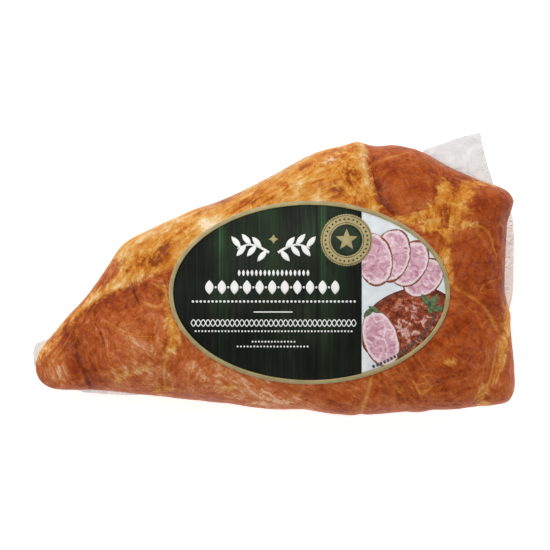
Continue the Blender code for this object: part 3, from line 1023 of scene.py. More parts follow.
def mottle(tree, place, size, detail, swirl=0.0):
    """Cloudy mask of patches of this many millimetres."""
    return tree.group("Mottle", place=place, size=size, detail=detail, swirl=swirl)["Value"]


def bump(tree, height, distance_mm, strength):
    """Normal from a height of this many millimetres."""
    inputs = {"Height": height, "Distance": distance_mm * MM, "Strength": strength}
    return tree.add("ShaderNodeBump", inputs).outputs["Normal"]


def smoked_meat(settings):
    """Smoked lean with fibres and golden smoky fat, chosen by the mesh's own fat value."""
    material, tree, shader = new_material("smoked_meat")
    place = tree.place()
    # The tone holds painted shade and highlight along creases, the fat cap's ridge and the right edge,
    # besides the meat's own lighter and darker places.
    fat, tone = tree.attribute("fat"), tree.attribute("tone")
    smear = tree.attribute("smear")
    fat_line, crease_shade_line = tree.attribute("fat_line"), tree.attribute("crease_shade_line")
    fibre = tree.attribute("fibre", "Vector")
    fibrous = tree.attribute("fibrous")
    on_front = smooth_mask(tree, tree.parts(place)["Z"], 18.0, 34.0)
    broad = mottle(tree, place, 16.0, 4.0)
    soft = mottle(tree, place, 8.0, 2.0, 0.6)
    patchy = mottle(tree, place, 5.0, 6.0, 1.2)
    fine = mottle(tree, place, 1.3, 5.0)
    curls = mottle(tree, place, 2.6, 3.0, 2.5)
    coarse_streak = tree.group("Fibres", place=fibre, width=2.2)["Streak"]
    fibres = tree.group("Fibres", place=fibre, width=0.7)

    edge = tree.weighted(-2.1, (patchy, 2.4), (curls, 1.0), (coarse_streak, 0.5), (fine, 0.3))
    depth = tree.math("ADD", tree.math("ADD", fat, edge), settings.marbling)
    in_fat = smooth_mask(tree, depth, -2.2, 2.2)
    ragged = tree.weighted(-0.75, (patchy, 1.1), (fine, 0.4))
    across_line = tree.math("ADD", tree.math("ABSOLUTE", fat_line), ragged)
    in_line = tree.math("MULTIPLY", on_front, 0.55)
    in_line = tree.math("MULTIPLY", smooth_mask(tree, across_line, 1.9, 0.2), in_line)
    in_fat = tree.math("MAXIMUM", in_fat, in_line)

    grain = tree.weighted(-0.2, (coarse_streak, 0.26), (fibres["Streak"], 0.14))
    grain = tree.math("MULTIPLY", grain, fibrous)
    lean_value = tree.weighted(
        0.175, (tone, 0.45), (broad, 0.14), (soft, 0.16), (grain, 1.0), (patchy, 0.27), (fine, 0.12))
    lean = tree.ramp(lean_value, (
        (0.0, srgb(102, 31, 6)), (0.25, srgb(141, 54, 12)), (0.5, srgb(170, 78, 25)),
        (0.72, srgb(189, 102, 51)), (0.9, srgb(205, 135, 87)), (1.0, srgb(222, 174, 138))))
    light_line = tree.math("MULTIPLY", fibres["Line"], tree.math("MULTIPLY", fibrous, 0.14))
    lean = tree.mix(light_line, lean, srgb(222, 160, 104))
    lean = tree.mix(1.0, lean, (*settings.lean_tint, 1.0), "MULTIPLY")

    smoky = tree.math("MULTIPLY", smear, tree.weighted(-0.75, (coarse_streak, 0.45), (patchy, 0.25)))
    fat_value = tree.weighted(
        0.04, (tone, 0.32), (broad, 0.2), (soft, 0.14), (coarse_streak, 0.2), (patchy, 0.26),
        (curls, 0.16), (fine, 0.08), (smoky, 1.0))
    golden = tree.ramp(fat_value, (
        (0.0, srgb(134, 55, 12)), (0.2, srgb(173, 85, 16)), (0.42, srgb(200, 123, 36)),
        (0.64, srgb(214, 152, 70)), (0.84, srgb(225, 184, 124)), (1.0, srgb(238, 214, 180))))
    golden = tree.mix(tree.math("MULTIPLY", fibres["Line"], 0.16), golden, srgb(234, 184, 96))
    golden = tree.mix(1.0, golden, (*settings.fat_tint, 1.0), "MULTIPLY")

    colour = tree.mix(in_fat, lean, golden)
    # Painted shade: dark lines along the deepest creases, where shade falls.
    across_line = tree.math("ADD", tree.math("ABSOLUTE", crease_shade_line), ragged)
    dark = tree.math("MULTIPLY", on_front, 0.75)
    dark = tree.math("MULTIPLY", smooth_mask(tree, across_line, 2.2, 0.2), dark)
    colour = tree.mix(dark, colour, srgb(104, 34, 14))

    height = tree.weighted(
        0.0, (fibres["Streak"], 0.4), (coarse_streak, 0.5), (fine, 0.3), (patchy, 0.6))
    roughness = tree.weighted(0.34, (fine, 0.14), (in_fat, 0.05))
    towards_view = tree.weighted(1.0, (tree.facing(), -1.0))
    coat = tree.math("MULTIPLY", tree.weighted(0.03, (patchy, 0.1)), towards_view)
    finish_shader(tree, shader, 0.03, base_color=colour, roughness=roughness,
                  normal=bump(tree, height, 0.5, 0.6), coat_weight=coat, coat_roughness=0.2)
    return material


def clear_film(name, settings, loose_haze=0.0, painted_meat_light=0.0):
    """See-through but for haze in wrinkles, bridges, loose film and outline; the last argument tints the
    haze with the meat's warm colour, painted light from the meat.
    """
    material, tree, shader = new_material(name)
    place = tree.place()
    wrinkles = tree.group("Film wrinkles", place=place, size=9.0 if loose_haze else 14.0)
    if loose_haze:
        haze = tree.weighted(loose_haze, (wrinkles["Wrinkle"], 0.2), (wrinkles["Height"], 0.2))
    else:
        facing = tree.facing()
        grazing = tree.math("POWER", facing, 2.0)
        smears = mottle(tree, place, 5.0, 4.0, 1.5)
        bridge = tree.math("MULTIPLY", tree.attribute("bridge"), tree.weighted(0.75, (smears, 0.5)))
        bridge = tree.math("MULTIPLY", bridge, tree.weighted(0.08, (grazing, 0.92)))
        edge = tree.math("POWER", facing, 9.0)
        haze = tree.weighted(settings.haze, (bridge, 1.0), (edge, 0.05), (wrinkles["Wrinkle"], 0.03))
    haze = tree.math("MINIMUM", haze, MOST_HAZE)
    tint = tree.ramp(wrinkles["Height"], (
        (0.3, srgb(218, 220, 221)), (0.5, (*settings.tint, 1.0)), (0.7, srgb(240, 243, 245))))
    # Painted light: the meat's warm colour, bounced into the film, is painted into the haze.
    tint = tree.mix(painted_meat_light, tint, srgb(222, 195, 168))
    finish_shader(tree, shader, 0.3, base_color=tint, roughness=0.3,
                  normal=bump(tree, wrinkles["Height"], 0.5, 0.5))
    clear = tree.add("ShaderNodeBsdfTransparent")
    both = tree.add("ShaderNodeMixShader", {0: haze, 1: clear.outputs[0], 2: shader.outputs[0]})
    output = next(node for node in tree.nodes.nodes if node.type == "OUTPUT_MATERIAL")
    tree.nodes.links.new(both.outputs[0], output.inputs["Surface"])
    return material


def printed(name, low, high, size=3.0, roughness=0.42):
    """Ink on satin paper: a colour that varies a little between two, with a fine paper tooth."""
    material, tree, shader = new_material(name)
    place = tree.place()
    cloud = mottle(tree, place, size, 4.0)
    tooth = mottle(tree, place, 0.35, 2.0)
    colour = tree.mix(tree.weighted(0.0, (cloud, 0.75), (tooth, 0.25)), low, high)
    finish_shader(tree, shader, 0.12, base_color=colour, roughness=roughness,
                  normal=bump(tree, tooth, 0.02, 0.4))
    return material


def gold_ink():
    """Gold of the seal and the diamond, made once."""
    made = bpy.data.materials.get("gold_ink")
    return made or printed("gold_ink", srgb(158, 143, 99), srgb(184, 169, 122), roughness=0.35)


def plank_print(settings):
    """Print of dark green boards: upright grain and light seams, lighter at the top and the right."""
    material, tree, shader = new_material("plank_print")
    place = tree.place()
    across = tree.parts(place)
    stretched = tree.add("ShaderNodeMapping", {"Vector": place, "Scale": (1.0, 0.06, 0.06)}).outputs[0]
    grain = mottle(tree, stretched, 1.5, 5.0)
    boards = mottle(tree, stretched, 9.0, 2.0)
    cloud = mottle(tree, place, 26.0, 3.0)
    up = smooth_mask(tree, across["Y"], -30.0, 34.0)
    from_left = smooth_mask(tree, across["X"], -52.0, -6.0)
    value = tree.weighted(
        -0.26, (grain, 0.3), (boards, 0.24), (cloud, 0.3), (up, 0.08), (from_left, 0.14))
    colour = tree.ramp(value, (
        (0.0, srgb(15, 17, 14)), (0.3, srgb(24, 28, 21)), (0.55, srgb(34, 43, 30)),
        (0.8, srgb(46, 64, 45)), (1.0, srgb(62, 92, 62))))
    colour = tree.mix(1.0, colour, (*settings.field_tint, 1.0), "MULTIPLY")
    cloudy = tree.math("MULTIPLY", up, tree.weighted(0.3, (cloud, 1.2)))
    uneven = tree.weighted(0.1, (cloudy, 0.9))
    for at, half_width, strength, light in PLANK_SEAMS:
        off = tree.math("ABSOLUTE", tree.math("SUBTRACT", across["X"], at))
        seam = tree.math("MULTIPLY", smooth_mask(tree, off, half_width, 0.0), strength)
        seam = tree.math("MULTIPLY", seam, uneven if light else 0.8)
        colour = tree.mix(seam, colour, srgb(70, 118, 74) if light else srgb(12, 14, 11))
    finish_shader(tree, shader, 0.08, base_color=colour, roughness=0.5,
                  normal=bump(tree, grain, 0.02, 0.3))
    return material


def glaze_print():
    """Print of a glazed crust: red-brown, scored in diamonds, dark at its edge, with pale gloss."""
    material, tree, shader = new_material("glaze_print")
    place = tree.place()
    cloud = mottle(tree, place, 4.0, 5.0, 1.0)
    specks = mottle(tree, place, 0.8, 3.0)
    bent = tree.add("ShaderNodeVectorMath", {0: place, 1: cloud}, operation="ADD").outputs[0]
    turned = tree.add("ShaderNodeMapping", {"Vector": bent, "Rotation": (0, 0, 0.5)}).outputs[0]
    across = tree.parts(turned)
    colour = tree.ramp(tree.weighted(0.0, (cloud, 0.6), (specks, 0.4)), (
        (0.1, srgb(82, 32, 22)), (0.4, srgb(138, 62, 40)), (0.7, srgb(168, 88, 56)),
        (0.95, srgb(206, 142, 108))))
    for direction in ("X", "Y"):
        wave = tree.math("SINE", tree.math("MULTIPLY", across[direction], 0.7))
        line = smooth_mask(tree, tree.math("ABSOLUTE", wave), 0.34, 0.0)
        colour = tree.mix(tree.math("MULTIPLY", line, 0.6), colour, srgb(70, 26, 22))
    out = tree.attribute("from_middle")
    inside = smooth_mask(tree, out, 0.75, 0.3)
    gloss = tree.math("MULTIPLY", inside, smooth_mask(tree, cloud, 0.62, 0.95))
    colour = tree.mix(tree.math("MULTIPLY", gloss, 0.55), colour, srgb(232, 204, 204))
    edge = tree.math("MULTIPLY", smooth_mask(tree, out, 0.72, 1.02), 0.65)
    colour = tree.mix(edge, colour, srgb(56, 20, 18))
    finish_shader(tree, shader, 0.12, base_color=colour, roughness=0.4)
    return material


def slice_print():
    """Print of sliced ham: marbled pink meat in a pale rim of fat with a thin brown crust."""
    material, tree, shader = new_material("slice_print")
    place = tree.place()
    cloud = mottle(tree, place, 5.0, 4.0, 1.6)
    grain = mottle(tree, place, 0.9, 4.0)
    meat = tree.ramp(tree.weighted(0.0, (cloud, 0.75), (grain, 0.25)), (
        (0.1, srgb(172, 116, 134)), (0.36, srgb(198, 150, 165)), (0.62, srgb(214, 172, 185)),
        (0.9, srgb(236, 210, 216))))
    out = tree.weighted(-0.04, (tree.attribute("from_middle"), 1.0), (cloud, 0.06), (grain, 0.02))
    colour = tree.mix(smooth_mask(tree, out, 0.74, 0.9), meat, srgb(230, 212, 216))
    colour = tree.mix(smooth_mask(tree, out, 0.9, 0.97), colour, srgb(140, 74, 48))
    finish_shader(tree, shader, 0.12, base_color=colour, roughness=0.42)
    return material


def label_top(xy, level):
    """Points on the label at a level of print: the front's height plus gap, paper and lower layers."""
    z = front_height(xy[:, 0], xy[:, 1]) + LABEL_GAP + LABEL_THICKNESS + PRINT_LIFT * level
    return np.column_stack([xy, z])


def within_label(xy, share, left=None):
    """Moves points that lie outside an oval share of the label, or left of a line, onto that edge."""
    half = np.array([LABEL_HALF_LENGTH, LABEL_HALF_WIDTH])
    unit = (xy - LABEL_CENTRE) / half
    over = np.maximum(np.linalg.norm(unit, axis=1) / share, 1)
    moved = LABEL_CENTRE + unit / over[:, None] * half
    if left is not None:
        moved[:, 0] = np.maximum(moved[:, 0], left)
    return moved


def filled(outline, level, rings=6, share=BORDER_INNER, left=None):
    """Filled shape: rings of middle plus share times the way from the middle to the outline."""
    outline = np.asarray(outline, float)
    middle = outline.mean(axis=0)
    shares = (np.arange(1, rings + 1) / rings)[:, None, None]
    xy = np.vstack([middle[None], (middle + shares * (outline - middle)).reshape(-1, 2)])
    n = len(outline)
    at = np.arange(n)
    ring, spoke = np.meshgrid(np.arange(rings - 1), at, indexing="ij")
    here, beside = 1 + ring * n + spoke, 1 + ring * n + (spoke + 1) % n
    quads = np.stack([here, here + n, beside + n, beside], axis=-1).reshape(-1, 4)
    triangles = np.stack([np.zeros_like(at), 1 + at, 1 + (at + 1) % n], axis=-1)
    return label_top(within_label(xy, share, left), level), quads, triangles


def ribbon(path, half_width, level, closed=False, share=BORDER_INNER):
    """Strip along a path: each of its points plus and minus the half width across it."""
    path = np.asarray(path, float)
    if closed:
        along = np.roll(path, -1, axis=0) - np.roll(path, 1, axis=0)
    else:
        along = np.gradient(path, axis=0)
    across = np.stack([-along[:, 1], along[:, 0]], axis=-1)
    across = across / np.linalg.norm(across, axis=1, keepdims=True)
    half_width = np.broadcast_to(half_width, len(path))[:, None, None]
    offset = np.array([-1, 0, 1])[None, :, None] * half_width
    xy = (path[:, None] + offset * across[:, None]).reshape(-1, 2)
    last = len(path) if closed else len(path) - 1
    step, row = np.meshgrid(np.arange(last), np.arange(2), indexing="ij")
    here, ahead = step * 3 + row, (step + 1) % len(path) * 3 + row
    quads = np.stack([here, ahead, ahead + 1, here + 1], axis=-1).reshape(-1, 4)
    return label_top(within_label(xy, share), level), quads, np.zeros((0, 3), int)


def bar(x_left, x_right, y, half_height, level):
    """Bar with rounded ends."""
    count = max(7, int((x_right - x_left) / 1.2))
    x = x_left + (x_right - x_left) * (1 - np.cos(np.linspace(0, math.pi, count))) / 2
    from_end = np.clip(np.minimum(x - x_left, x_right - x) / half_height, 0.02, 1)
    half_width = half_height * np.sqrt(1 - (1 - from_end) ** 2)
    return ribbon(np.column_stack([x, np.full(count, y)]), half_width, level)


def placed(u, v, cx, cy, turn):
    """Outline of points turned by an angle in degrees and moved to a middle."""
    c, s = math.cos(math.radians(turn)), math.sin(math.radians(turn))
    return np.column_stack([cx + c * u - s * v, cy + s * u + c * v])


def oval(cx, cy, a, b, turn=0, wobble=0.0, phase=0.0, count=72):
    """Oval outline whose radius wobbles by a share of itself, three and five times round."""
    t = np.linspace(0, 2 * math.pi, count, endpoint=False)
    swell = 1 + wobble * (np.cos(3 * t + phase) + 0.5 * np.cos(5 * t + 2 * phase))
    return placed(a * swell * np.cos(t), b * swell * np.sin(t), cx, cy, turn)


def leaf(cx, cy, length, width, turn):
    """Pointed leaf outline: the half width follows the square of the sine along it."""
    t = np.linspace(0, 2 * math.pi, 24, endpoint=False)
    return placed(length * np.cos(t), width * np.sin(t) * np.abs(np.sin(t)), cx, cy, turn)


def star(cx, cy, outer, inner, points=5):
    """Star outline: radii that change in turn."""
    t = math.pi / 2 + np.arange(2 * points) * math.pi / points
    radius = np.where(np.arange(2 * points) % 2, inner, outer)
    return np.column_stack([cx + radius * np.cos(t), cy + radius * np.sin(t)])


def print_piece(name, shapes, material, thickness=0.6 * PRINT_LIFT):
    """One piece of print from several shapes, closed by a thickness that reaches down from them."""
    starts = np.concatenate([[0], np.cumsum([len(points) for points, _, _ in shapes])])
    points = np.vstack([points for points, _, _ in shapes])
    quads = np.vstack([quads + start for (_, quads, _), start in zip(shapes, starts)])
    triangles = np.vstack([faces + start for (_, _, faces), start in zip(shapes, starts)])
    groups = [faces for faces in (quads, triangles) if len(faces)]
    piece = add_piece(name, mesh_from(name, points, groups), material, "label")
    wall = piece.modifiers.new("ink", "SOLIDIFY")
    wall.thickness = thickness * MM
    wall.offset = -1.0
    return piece


def picture_oval(name, shape, level, material, phase):
    """Oval of the picture that stores how far out its points lie: 0 in its middle and 1 on its edge."""
    layer = filled(oval(*shape, PICTURE_WOBBLE, phase), level, rings=10,
                   left=PICTURE_LEFT + PICTURE_MARGIN)
    piece = print_piece(name, [layer], material)
    x, y = layer[0][:, 0], layer[0][:, 1]
    point_attribute(piece.data, "from_middle", oval_reach(x, y, shape))


def sprig_stem(side, share):
    """Points of a stem at shares of its length: out to a side, and up along a stretch of a sine."""
    x = SPRIG_CENTRE[0] + side * (SPRIG_START + SPRIG_LENGTH * share)
    return np.column_stack([x, SPRIG_CENTRE[1] + SPRIG_RISE * np.sin(SPRIG_BEND * share) - SPRIG_DROP])


def label_arc(share, start, end, count):
    """Points along an oval share of the label's edge between two angles in degrees."""
    t = np.radians(np.linspace(start, end, count))
    x = LABEL_CENTRE[0] + share * LABEL_HALF_LENGTH * np.cos(t)
    y = LABEL_CENTRE[1] + share * LABEL_HALF_WIDTH * np.sin(t)
    return np.column_stack([x, y])


def field_outline(left, right):
    """Outline of the label's printed part between two upright lines."""
    edge = label_arc(BORDER_INNER, 0, 360, 361)[:-1]
    xy = edge[(edge[:, 0] > left) & (edge[:, 0] < right)]
    ends = []
    for x in (left, right):
        rest = 1 - ((x - LABEL_CENTRE[0]) / LABEL_HALF_LENGTH / BORDER_INNER) ** 2
        if rest > 0:
            half = BORDER_INNER * LABEL_HALF_WIDTH * math.sqrt(rest)
            y = LABEL_CENTRE[1] + half * np.linspace(-1, 1, 24)
            ends.append(np.column_stack([np.full(24, x), y]))
    xy = np.vstack([xy, *ends])
    middle = xy.mean(axis=0)
    order = np.argsort(np.arctan2(xy[:, 1] - middle[1], xy[:, 0] - middle[0]))
    return xy[order]


def pack_grid(spokes, rings):
    """The pack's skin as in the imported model, with its directions and levels."""
    theta = outline_directions(spokes)
    phi = even_levels(theta, rings)
    theta, phi = np.broadcast_arrays(theta[None, :], phi[:, None])
    base = base_form(theta, phi)
    grid = base + relief(base, phi)[..., None] * outward(base)
    grid[..., 2] = np.maximum(grid[..., 2], 0)
    return grid, phi


def loose_sheet(edge, root, height, seed, wave):
    """Sheet from a root out to an edge: root plus share times the way, with waves that grow."""
    points = np.array(edge, float)
    at = np.concatenate([[0], np.cumsum(np.linalg.norm(np.diff(points, axis=0), axis=1))])
    along = np.linspace(0, at[-1], SHEET_STEPS)
    rim = np.column_stack([np.interp(along, at, points[:, 0]), np.interp(along, at, points[:, 1])])
    share = np.linspace(SHEET_START, 1, SHEET_ROWS)[:, None]
    x = root[0] + share * (rim[None, :, 0] - root[0])
    y = root[1] + share * (rim[None, :, 1] - root[1])
    flat = np.stack([x, y, np.full(x.shape, float(height))], axis=-1)
    rng = np.random.default_rng(seed)
    fold = np.zeros(x.shape)
    for turns in SHEET_FOLDS:
        fold += np.sin(turns * math.pi * along[None] / at[-1] + 6 * rng.random()) / turns
    crumple = lattice_noise(flat * (1, 1, 0), SHEET_CRUMPLE_SIZE, seed)
    flat[..., 2] += wave * share * fold + SHEET_CRUMPLE * wave * crumple
    index = np.arange(x.size).reshape(x.shape)
    quads = np.stack([index[:-1, :-1], index[1:, :-1], index[1:, 1:], index[:-1, 1:]], axis=-1)
    return flat.reshape(-1, 3), quads.reshape(-1, 4)


class HamMeatSettings(bpy.types.PropertyGroup):
    """Colours and marbling of the meat."""

    lean_tint: bpy.props.FloatVectorProperty(
        name="Lean tint", description="Multiplies the colour of the lean meat", default=(1, 1, 1),
        subtype="COLOR", min=0, max=1)
    fat_tint: bpy.props.FloatVectorProperty(
        name="Fat tint", description="Multiplies the colour of the fat", default=(1, 1, 1),
        subtype="COLOR", min=0, max=1)
    marbling: bpy.props.FloatProperty(
        name="Marbling", description="How much wider the fat seams are, in millimetres", default=0.0,
        min=-3, max=3)
    inset: bpy.props.FloatProperty(
        name="Inset", description="How far the meat lies under the film", default=MEAT_INSET * MM,
        unit="LENGTH", min=0.0001, max=0.003)


class HamFilmSettings(bpy.types.PropertyGroup):
    """Look of the clear film."""

    haze: bpy.props.FloatProperty(
        name="Haze", description="How white the tight film looks", default=0.003, min=0, max=1)
    tint: bpy.props.FloatVectorProperty(
        name="Tint", description="Colour of the film's haze", default=(0.83, 0.85, 0.86),
        subtype="COLOR", min=0, max=1)
    thickness: bpy.props.FloatProperty(
        name="Thickness", description="Thickness of the loose film", default=0.15 * MM, unit="LENGTH",
        min=0.00002, max=0.001)


class HamLabelSettings(bpy.types.PropertyGroup):
    """Sizes and colours of the label."""

    border: bpy.props.FloatProperty(
        name="Border", description="Width of the gold border", default=BORDER_WIDTH * MM, unit="LENGTH",
        min=0.0005, max=0.006)
    field_tint: bpy.props.FloatVectorProperty(
        name="Field tint", description="Multiplies the green of the boards", default=(1, 1, 1),
        subtype="COLOR", min=0, max=1)
    seal_radius: bpy.props.FloatProperty(
        name="Seal radius", description="Radius of the round seal", default=SEAL_RADIUS * MM,
        unit="LENGTH", min=0.005, max=0.02)


class HamStageSettings(bpy.types.PropertyGroup):
    """Light and camera."""

    light_power: bpy.props.FloatProperty(
        name="Light power", description="Power of the soft light", default=26.0, unit="POWER", min=0,
        max=500)
    sky: bpy.props.FloatProperty(
        name="Sky", description="Strength of the even white light", default=0.62, min=0, max=3)
    camera_height: bpy.props.FloatProperty(
        name="Camera height", description="Height of the camera over the floor", default=5.0,
        unit="LENGTH", min=1, max=20)


class HAM_OT_meat(bpy.types.Operator):
    """Adds the smoked ham inside the film"""

    bl_idname = "ham.meat"
    bl_label = "Meat"

    def execute(self, context):
        """The pack's skin moved inwards, further where the film bridges, with its patterns on it."""
        settings = context.scene.ham_meat
        build_groups()
        grid, _ = pack_grid(SPOKES, RINGS)
        normal = outward(grid)
        stand_off, _ = bridging(grid[..., 0], grid[..., 1])
        stand_off = stand_off * smooth_step(rim_share(grid), *STAND_OFF_RISE)
        hollow = sum(depth * (1 + lattice_noise(grid, size, seed)) for size, seed, depth in HOLLOWS)
        inward = settings.inset / MM + stand_off + hollow * beside_label(grid)
        meat = grid - normal * inward[..., None]
        points = closed_grid_points(meat)
        mesh = mesh_from("ham_meat", points, grid_faces(RINGS + 1, SPOKES))
        patterns = {
            "fat": fat_field,
            "tone": tone_and_shade_field,
            "smear": lambda x, y: oval_sum(x, y, SMEARS),
            "fat_line": lambda x, y: line_field(x, y, FAT_LINES),
            "crease_shade_line": lambda x, y: line_field(x, y, CREASE_SHADE_LINES),
            "fibrous": lambda x, y: 1 - oval_sum(x, y, SMOOTH_LOBES),
        }
        for name, pattern in patterns.items():
            point_attribute(mesh, name, blended(pattern, points))
        fibre_attribute(mesh, points)
        add_piece("ham_meat", mesh, smoked_meat(settings), "ham_in_film")
        return {"FINISHED"}


class HAM_OT_film(bpy.types.Operator):
    """Adds the clear film that is drawn tight on the meat"""

    bl_idname = "ham.film"
    bl_label = "Tight film"

    def execute(self, context):
        """The pack's skin itself, with the places where it bridges stored on it."""
        build_groups()
        grid, _ = pack_grid(SPOKES // 2, RINGS // 2)
        points = closed_grid_points(grid)
        mesh = mesh_from("film", points, grid_faces(RINGS // 2 + 1, SPOKES // 2))
        _, haze = bridging(points[:, 0], points[:, 1])
        point_attribute(mesh, "bridge", haze * smooth_step(rim_share(points), *HAZE_RISE))
        material = clear_film("tight_film", context.scene.ham_film, painted_meat_light=TIGHT_MEAT_LIGHT)
        add_piece("film", mesh, material, "ham_in_film")
        return {"FINISHED"}


class HAM_OT_loose_film(bpy.types.Operator):
    """Adds the sealed corner, the ear, the fold and the strip of loose film"""

    bl_idname = "ham.loose_film"
    bl_label = "Loose film"

    def execute(self, context):
        """Four thin sheets that run from inside the pack out to their edges."""
        build_groups()
        settings = context.scene.ham_film
        seal = clear_film("loose_film", settings, SEAL_HAZE)
        fold = clear_film("folded_film", settings, FOLD_HAZE)
        strip = clear_film("edge_film", settings, STRIP_HAZE, painted_meat_light=STRIP_MEAT_LIGHT)
        sheets = (
            ("film_seal_corner", SEAL_CORNER, SEAL_ROOT, SEAL_CORNER_HEIGHT, 0.8, seal),
            ("film_ear", EAR, EAR_ROOT, EAR_HEIGHT, 0.5, seal),
            ("film_bottom_fold", FOLD, FOLD_ROOT, FOLD_HEIGHT, 0.3, fold),
            ("film_edge_strip", STRIP, STRIP_ROOT, STRIP_HEIGHT, 0.3, strip),
        )
        for seed, (name, edge, root, height, wave, material) in enumerate(sheets, start=SHEET_SEED):
            points, quads = loose_sheet(edge, root, height, seed, wave)
            piece = add_piece(name, mesh_from(name, points, [quads]), material, "ham_in_film")
            wall = piece.modifiers.new("film", "SOLIDIFY")
            wall.thickness = settings.thickness
            wall.offset = 0.0
        return {"FINISHED"}


class HAM_OT_label_base(bpy.types.Operator):
    """Adds the label's paper, green field, picture ground and gold border"""

    bl_idname = "ham.label_base"
    bl_label = "Label base"

    def execute(self, context):
        """A closed oval slab on the front's curve, with three flat prints on it."""
        build_groups()
        settings = context.scene.ham_label
        shares = np.concatenate([np.linspace(0, 1, PAPER_RINGS), np.linspace(1, 0, PAPER_RINGS)])
        lifts = np.repeat([LABEL_GAP + LABEL_THICKNESS, LABEL_GAP], PAPER_RINGS)
        t = np.linspace(0, 2 * math.pi, PAPER_SPOKES, endpoint=False)
        x = LABEL_CENTRE[0] + shares[:, None] * LABEL_HALF_LENGTH * np.cos(t)
        y = LABEL_CENTRE[1] + shares[:, None] * LABEL_HALF_WIDTH * np.sin(t)
        grid = np.stack([x, y, front_height(x, y) + lifts[:, None]], axis=-1)
        mesh = mesh_from("label_paper", closed_grid_points(grid), grid_faces(len(shares), len(t)))
        paper = printed("label_paper", srgb(222, 222, 216), srgb(236, 236, 230))
        add_piece("label_paper", mesh, paper, "label")

        field = filled(field_outline(-PAST_LABEL, PICTURE_LEFT), FIELD_LEVEL, rings=30)
        print_piece("label_green_field", [field], plank_print(settings))
        ground = filled(field_outline(PICTURE_LEFT, PAST_LABEL), FIELD_LEVEL, rings=16)
        print_piece("label_picture_ground", [ground],
                    printed("picture_ground", srgb(206, 212, 214), srgb(230, 233, 236), size=7.0))
        half = settings.border / MM / 2
        edge = label_arc(1, 0, 360, 241)[:-1]
        inward = -(edge - LABEL_CENTRE) / (LABEL_HALF_LENGTH**2, LABEL_HALF_WIDTH**2)
        middle = edge + (half + 0.02) * inward / np.linalg.norm(inward, axis=1, keepdims=True)
        gold = printed("gold_border", srgb(152, 137, 95), srgb(178, 162, 115), size=5.0,
                       roughness=0.35)
        strip = ribbon(middle, half, BORDER_LEVEL, closed=True, share=0.999)
        print_piece("label_gold_border", [strip], gold, BORDER_LEVEL * PRINT_LIFT)
        return {"FINISHED"}


class HAM_OT_label_picture(bpy.types.Operator):
    """Adds the picture panel's plain serving picture"""

    bl_idname = "ham.label_picture"
    bl_label = "Label picture"

    def execute(self, context):
        """Ovals laid over each other: a glazed joint with its cut end, a fan of slices, and leaves."""
        build_groups()
        crust, meat = glaze_print(), slice_print()
        picture_oval("picture_joint", PICTURE_JOINT, MARK_LEVEL, crust, 1.0)
        picture_oval("picture_cut_end", PICTURE_CUT_END, CUT_LEVEL, meat, 2.0)
        for number, shape in enumerate(PICTURE_SLICES):
            level = SLICE_LEVEL + number
            picture_oval(f"picture_slice_{number + 1}", shape, level, meat, 1.7 * number)
        green = printed("picture_leaf", srgb(58, 76, 50), srgb(112, 132, 92), size=1.5)
        leaves = [filled(leaf(*shape), LEAF_LEVEL, rings=3, left=PICTURE_LEFT + PICTURE_MARGIN)
                  for shape in PICTURE_LEAVES]
        print_piece("picture_leaves", leaves, green)
        return {"FINISHED"}


class HAM_OT_label_seal(bpy.types.Operator):
    """Adds the round gold seal with a plain star"""

    bl_idname = "ham.label_seal"
    bl_label = "Label seal"

    def execute(self, context):
        """A toothed disc, rings and small marks on it, and a five-pointed star in the middle."""
        build_groups()
        radius = context.scene.ham_label.seal_radius / MM
        gold = gold_ink()
        dark = printed("dark_green_ink", srgb(28, 38, 28), srgb(44, 60, 44))
        cx, cy = SEAL_CENTRE
        t = np.linspace(0, 2 * math.pi, 240, endpoint=False)
        rim = radius - SEAL_TOOTH + SEAL_TOOTH * np.cos(SEAL_TEETH * t)
        toothed = np.column_stack([cx + rim * np.cos(t), cy + rim * np.sin(t)])

        def ring(share):
            return oval(cx, cy, share * radius, share * radius, count=96)

        disc = filled(toothed, SEAL_LEVEL, rings=7)
        print_piece("seal_disc", [disc], gold, SEAL_LEVEL * PRINT_LIFT)
        rings = [ribbon(ring(share), SEAL_RING_WIDTH, INK_LEVEL, closed=True) for share in SEAL_RINGS]
        for a in np.linspace(0, 2 * math.pi, SEAL_MARKS, endpoint=False):
            x = cx + SEAL_MARKS_OUT * radius * math.cos(a)
            y = cy + SEAL_MARKS_OUT * radius * math.sin(a)
            rings.append(filled(star(x, y, *SEAL_MARK, 4), INK_LEVEL, rings=1))
        print_piece("seal_rings", rings, dark)
        print_piece("seal_field", [filled(ring(SEAL_FIELD), INK_LEVEL, rings=5)], dark)
        outer, inner = (share * radius for share in SEAL_STAR)
        print_piece("seal_star", [filled(star(cx, cy, outer, inner), STAR_LEVEL, rings=4)], gold)
        return {"FINISHED"}


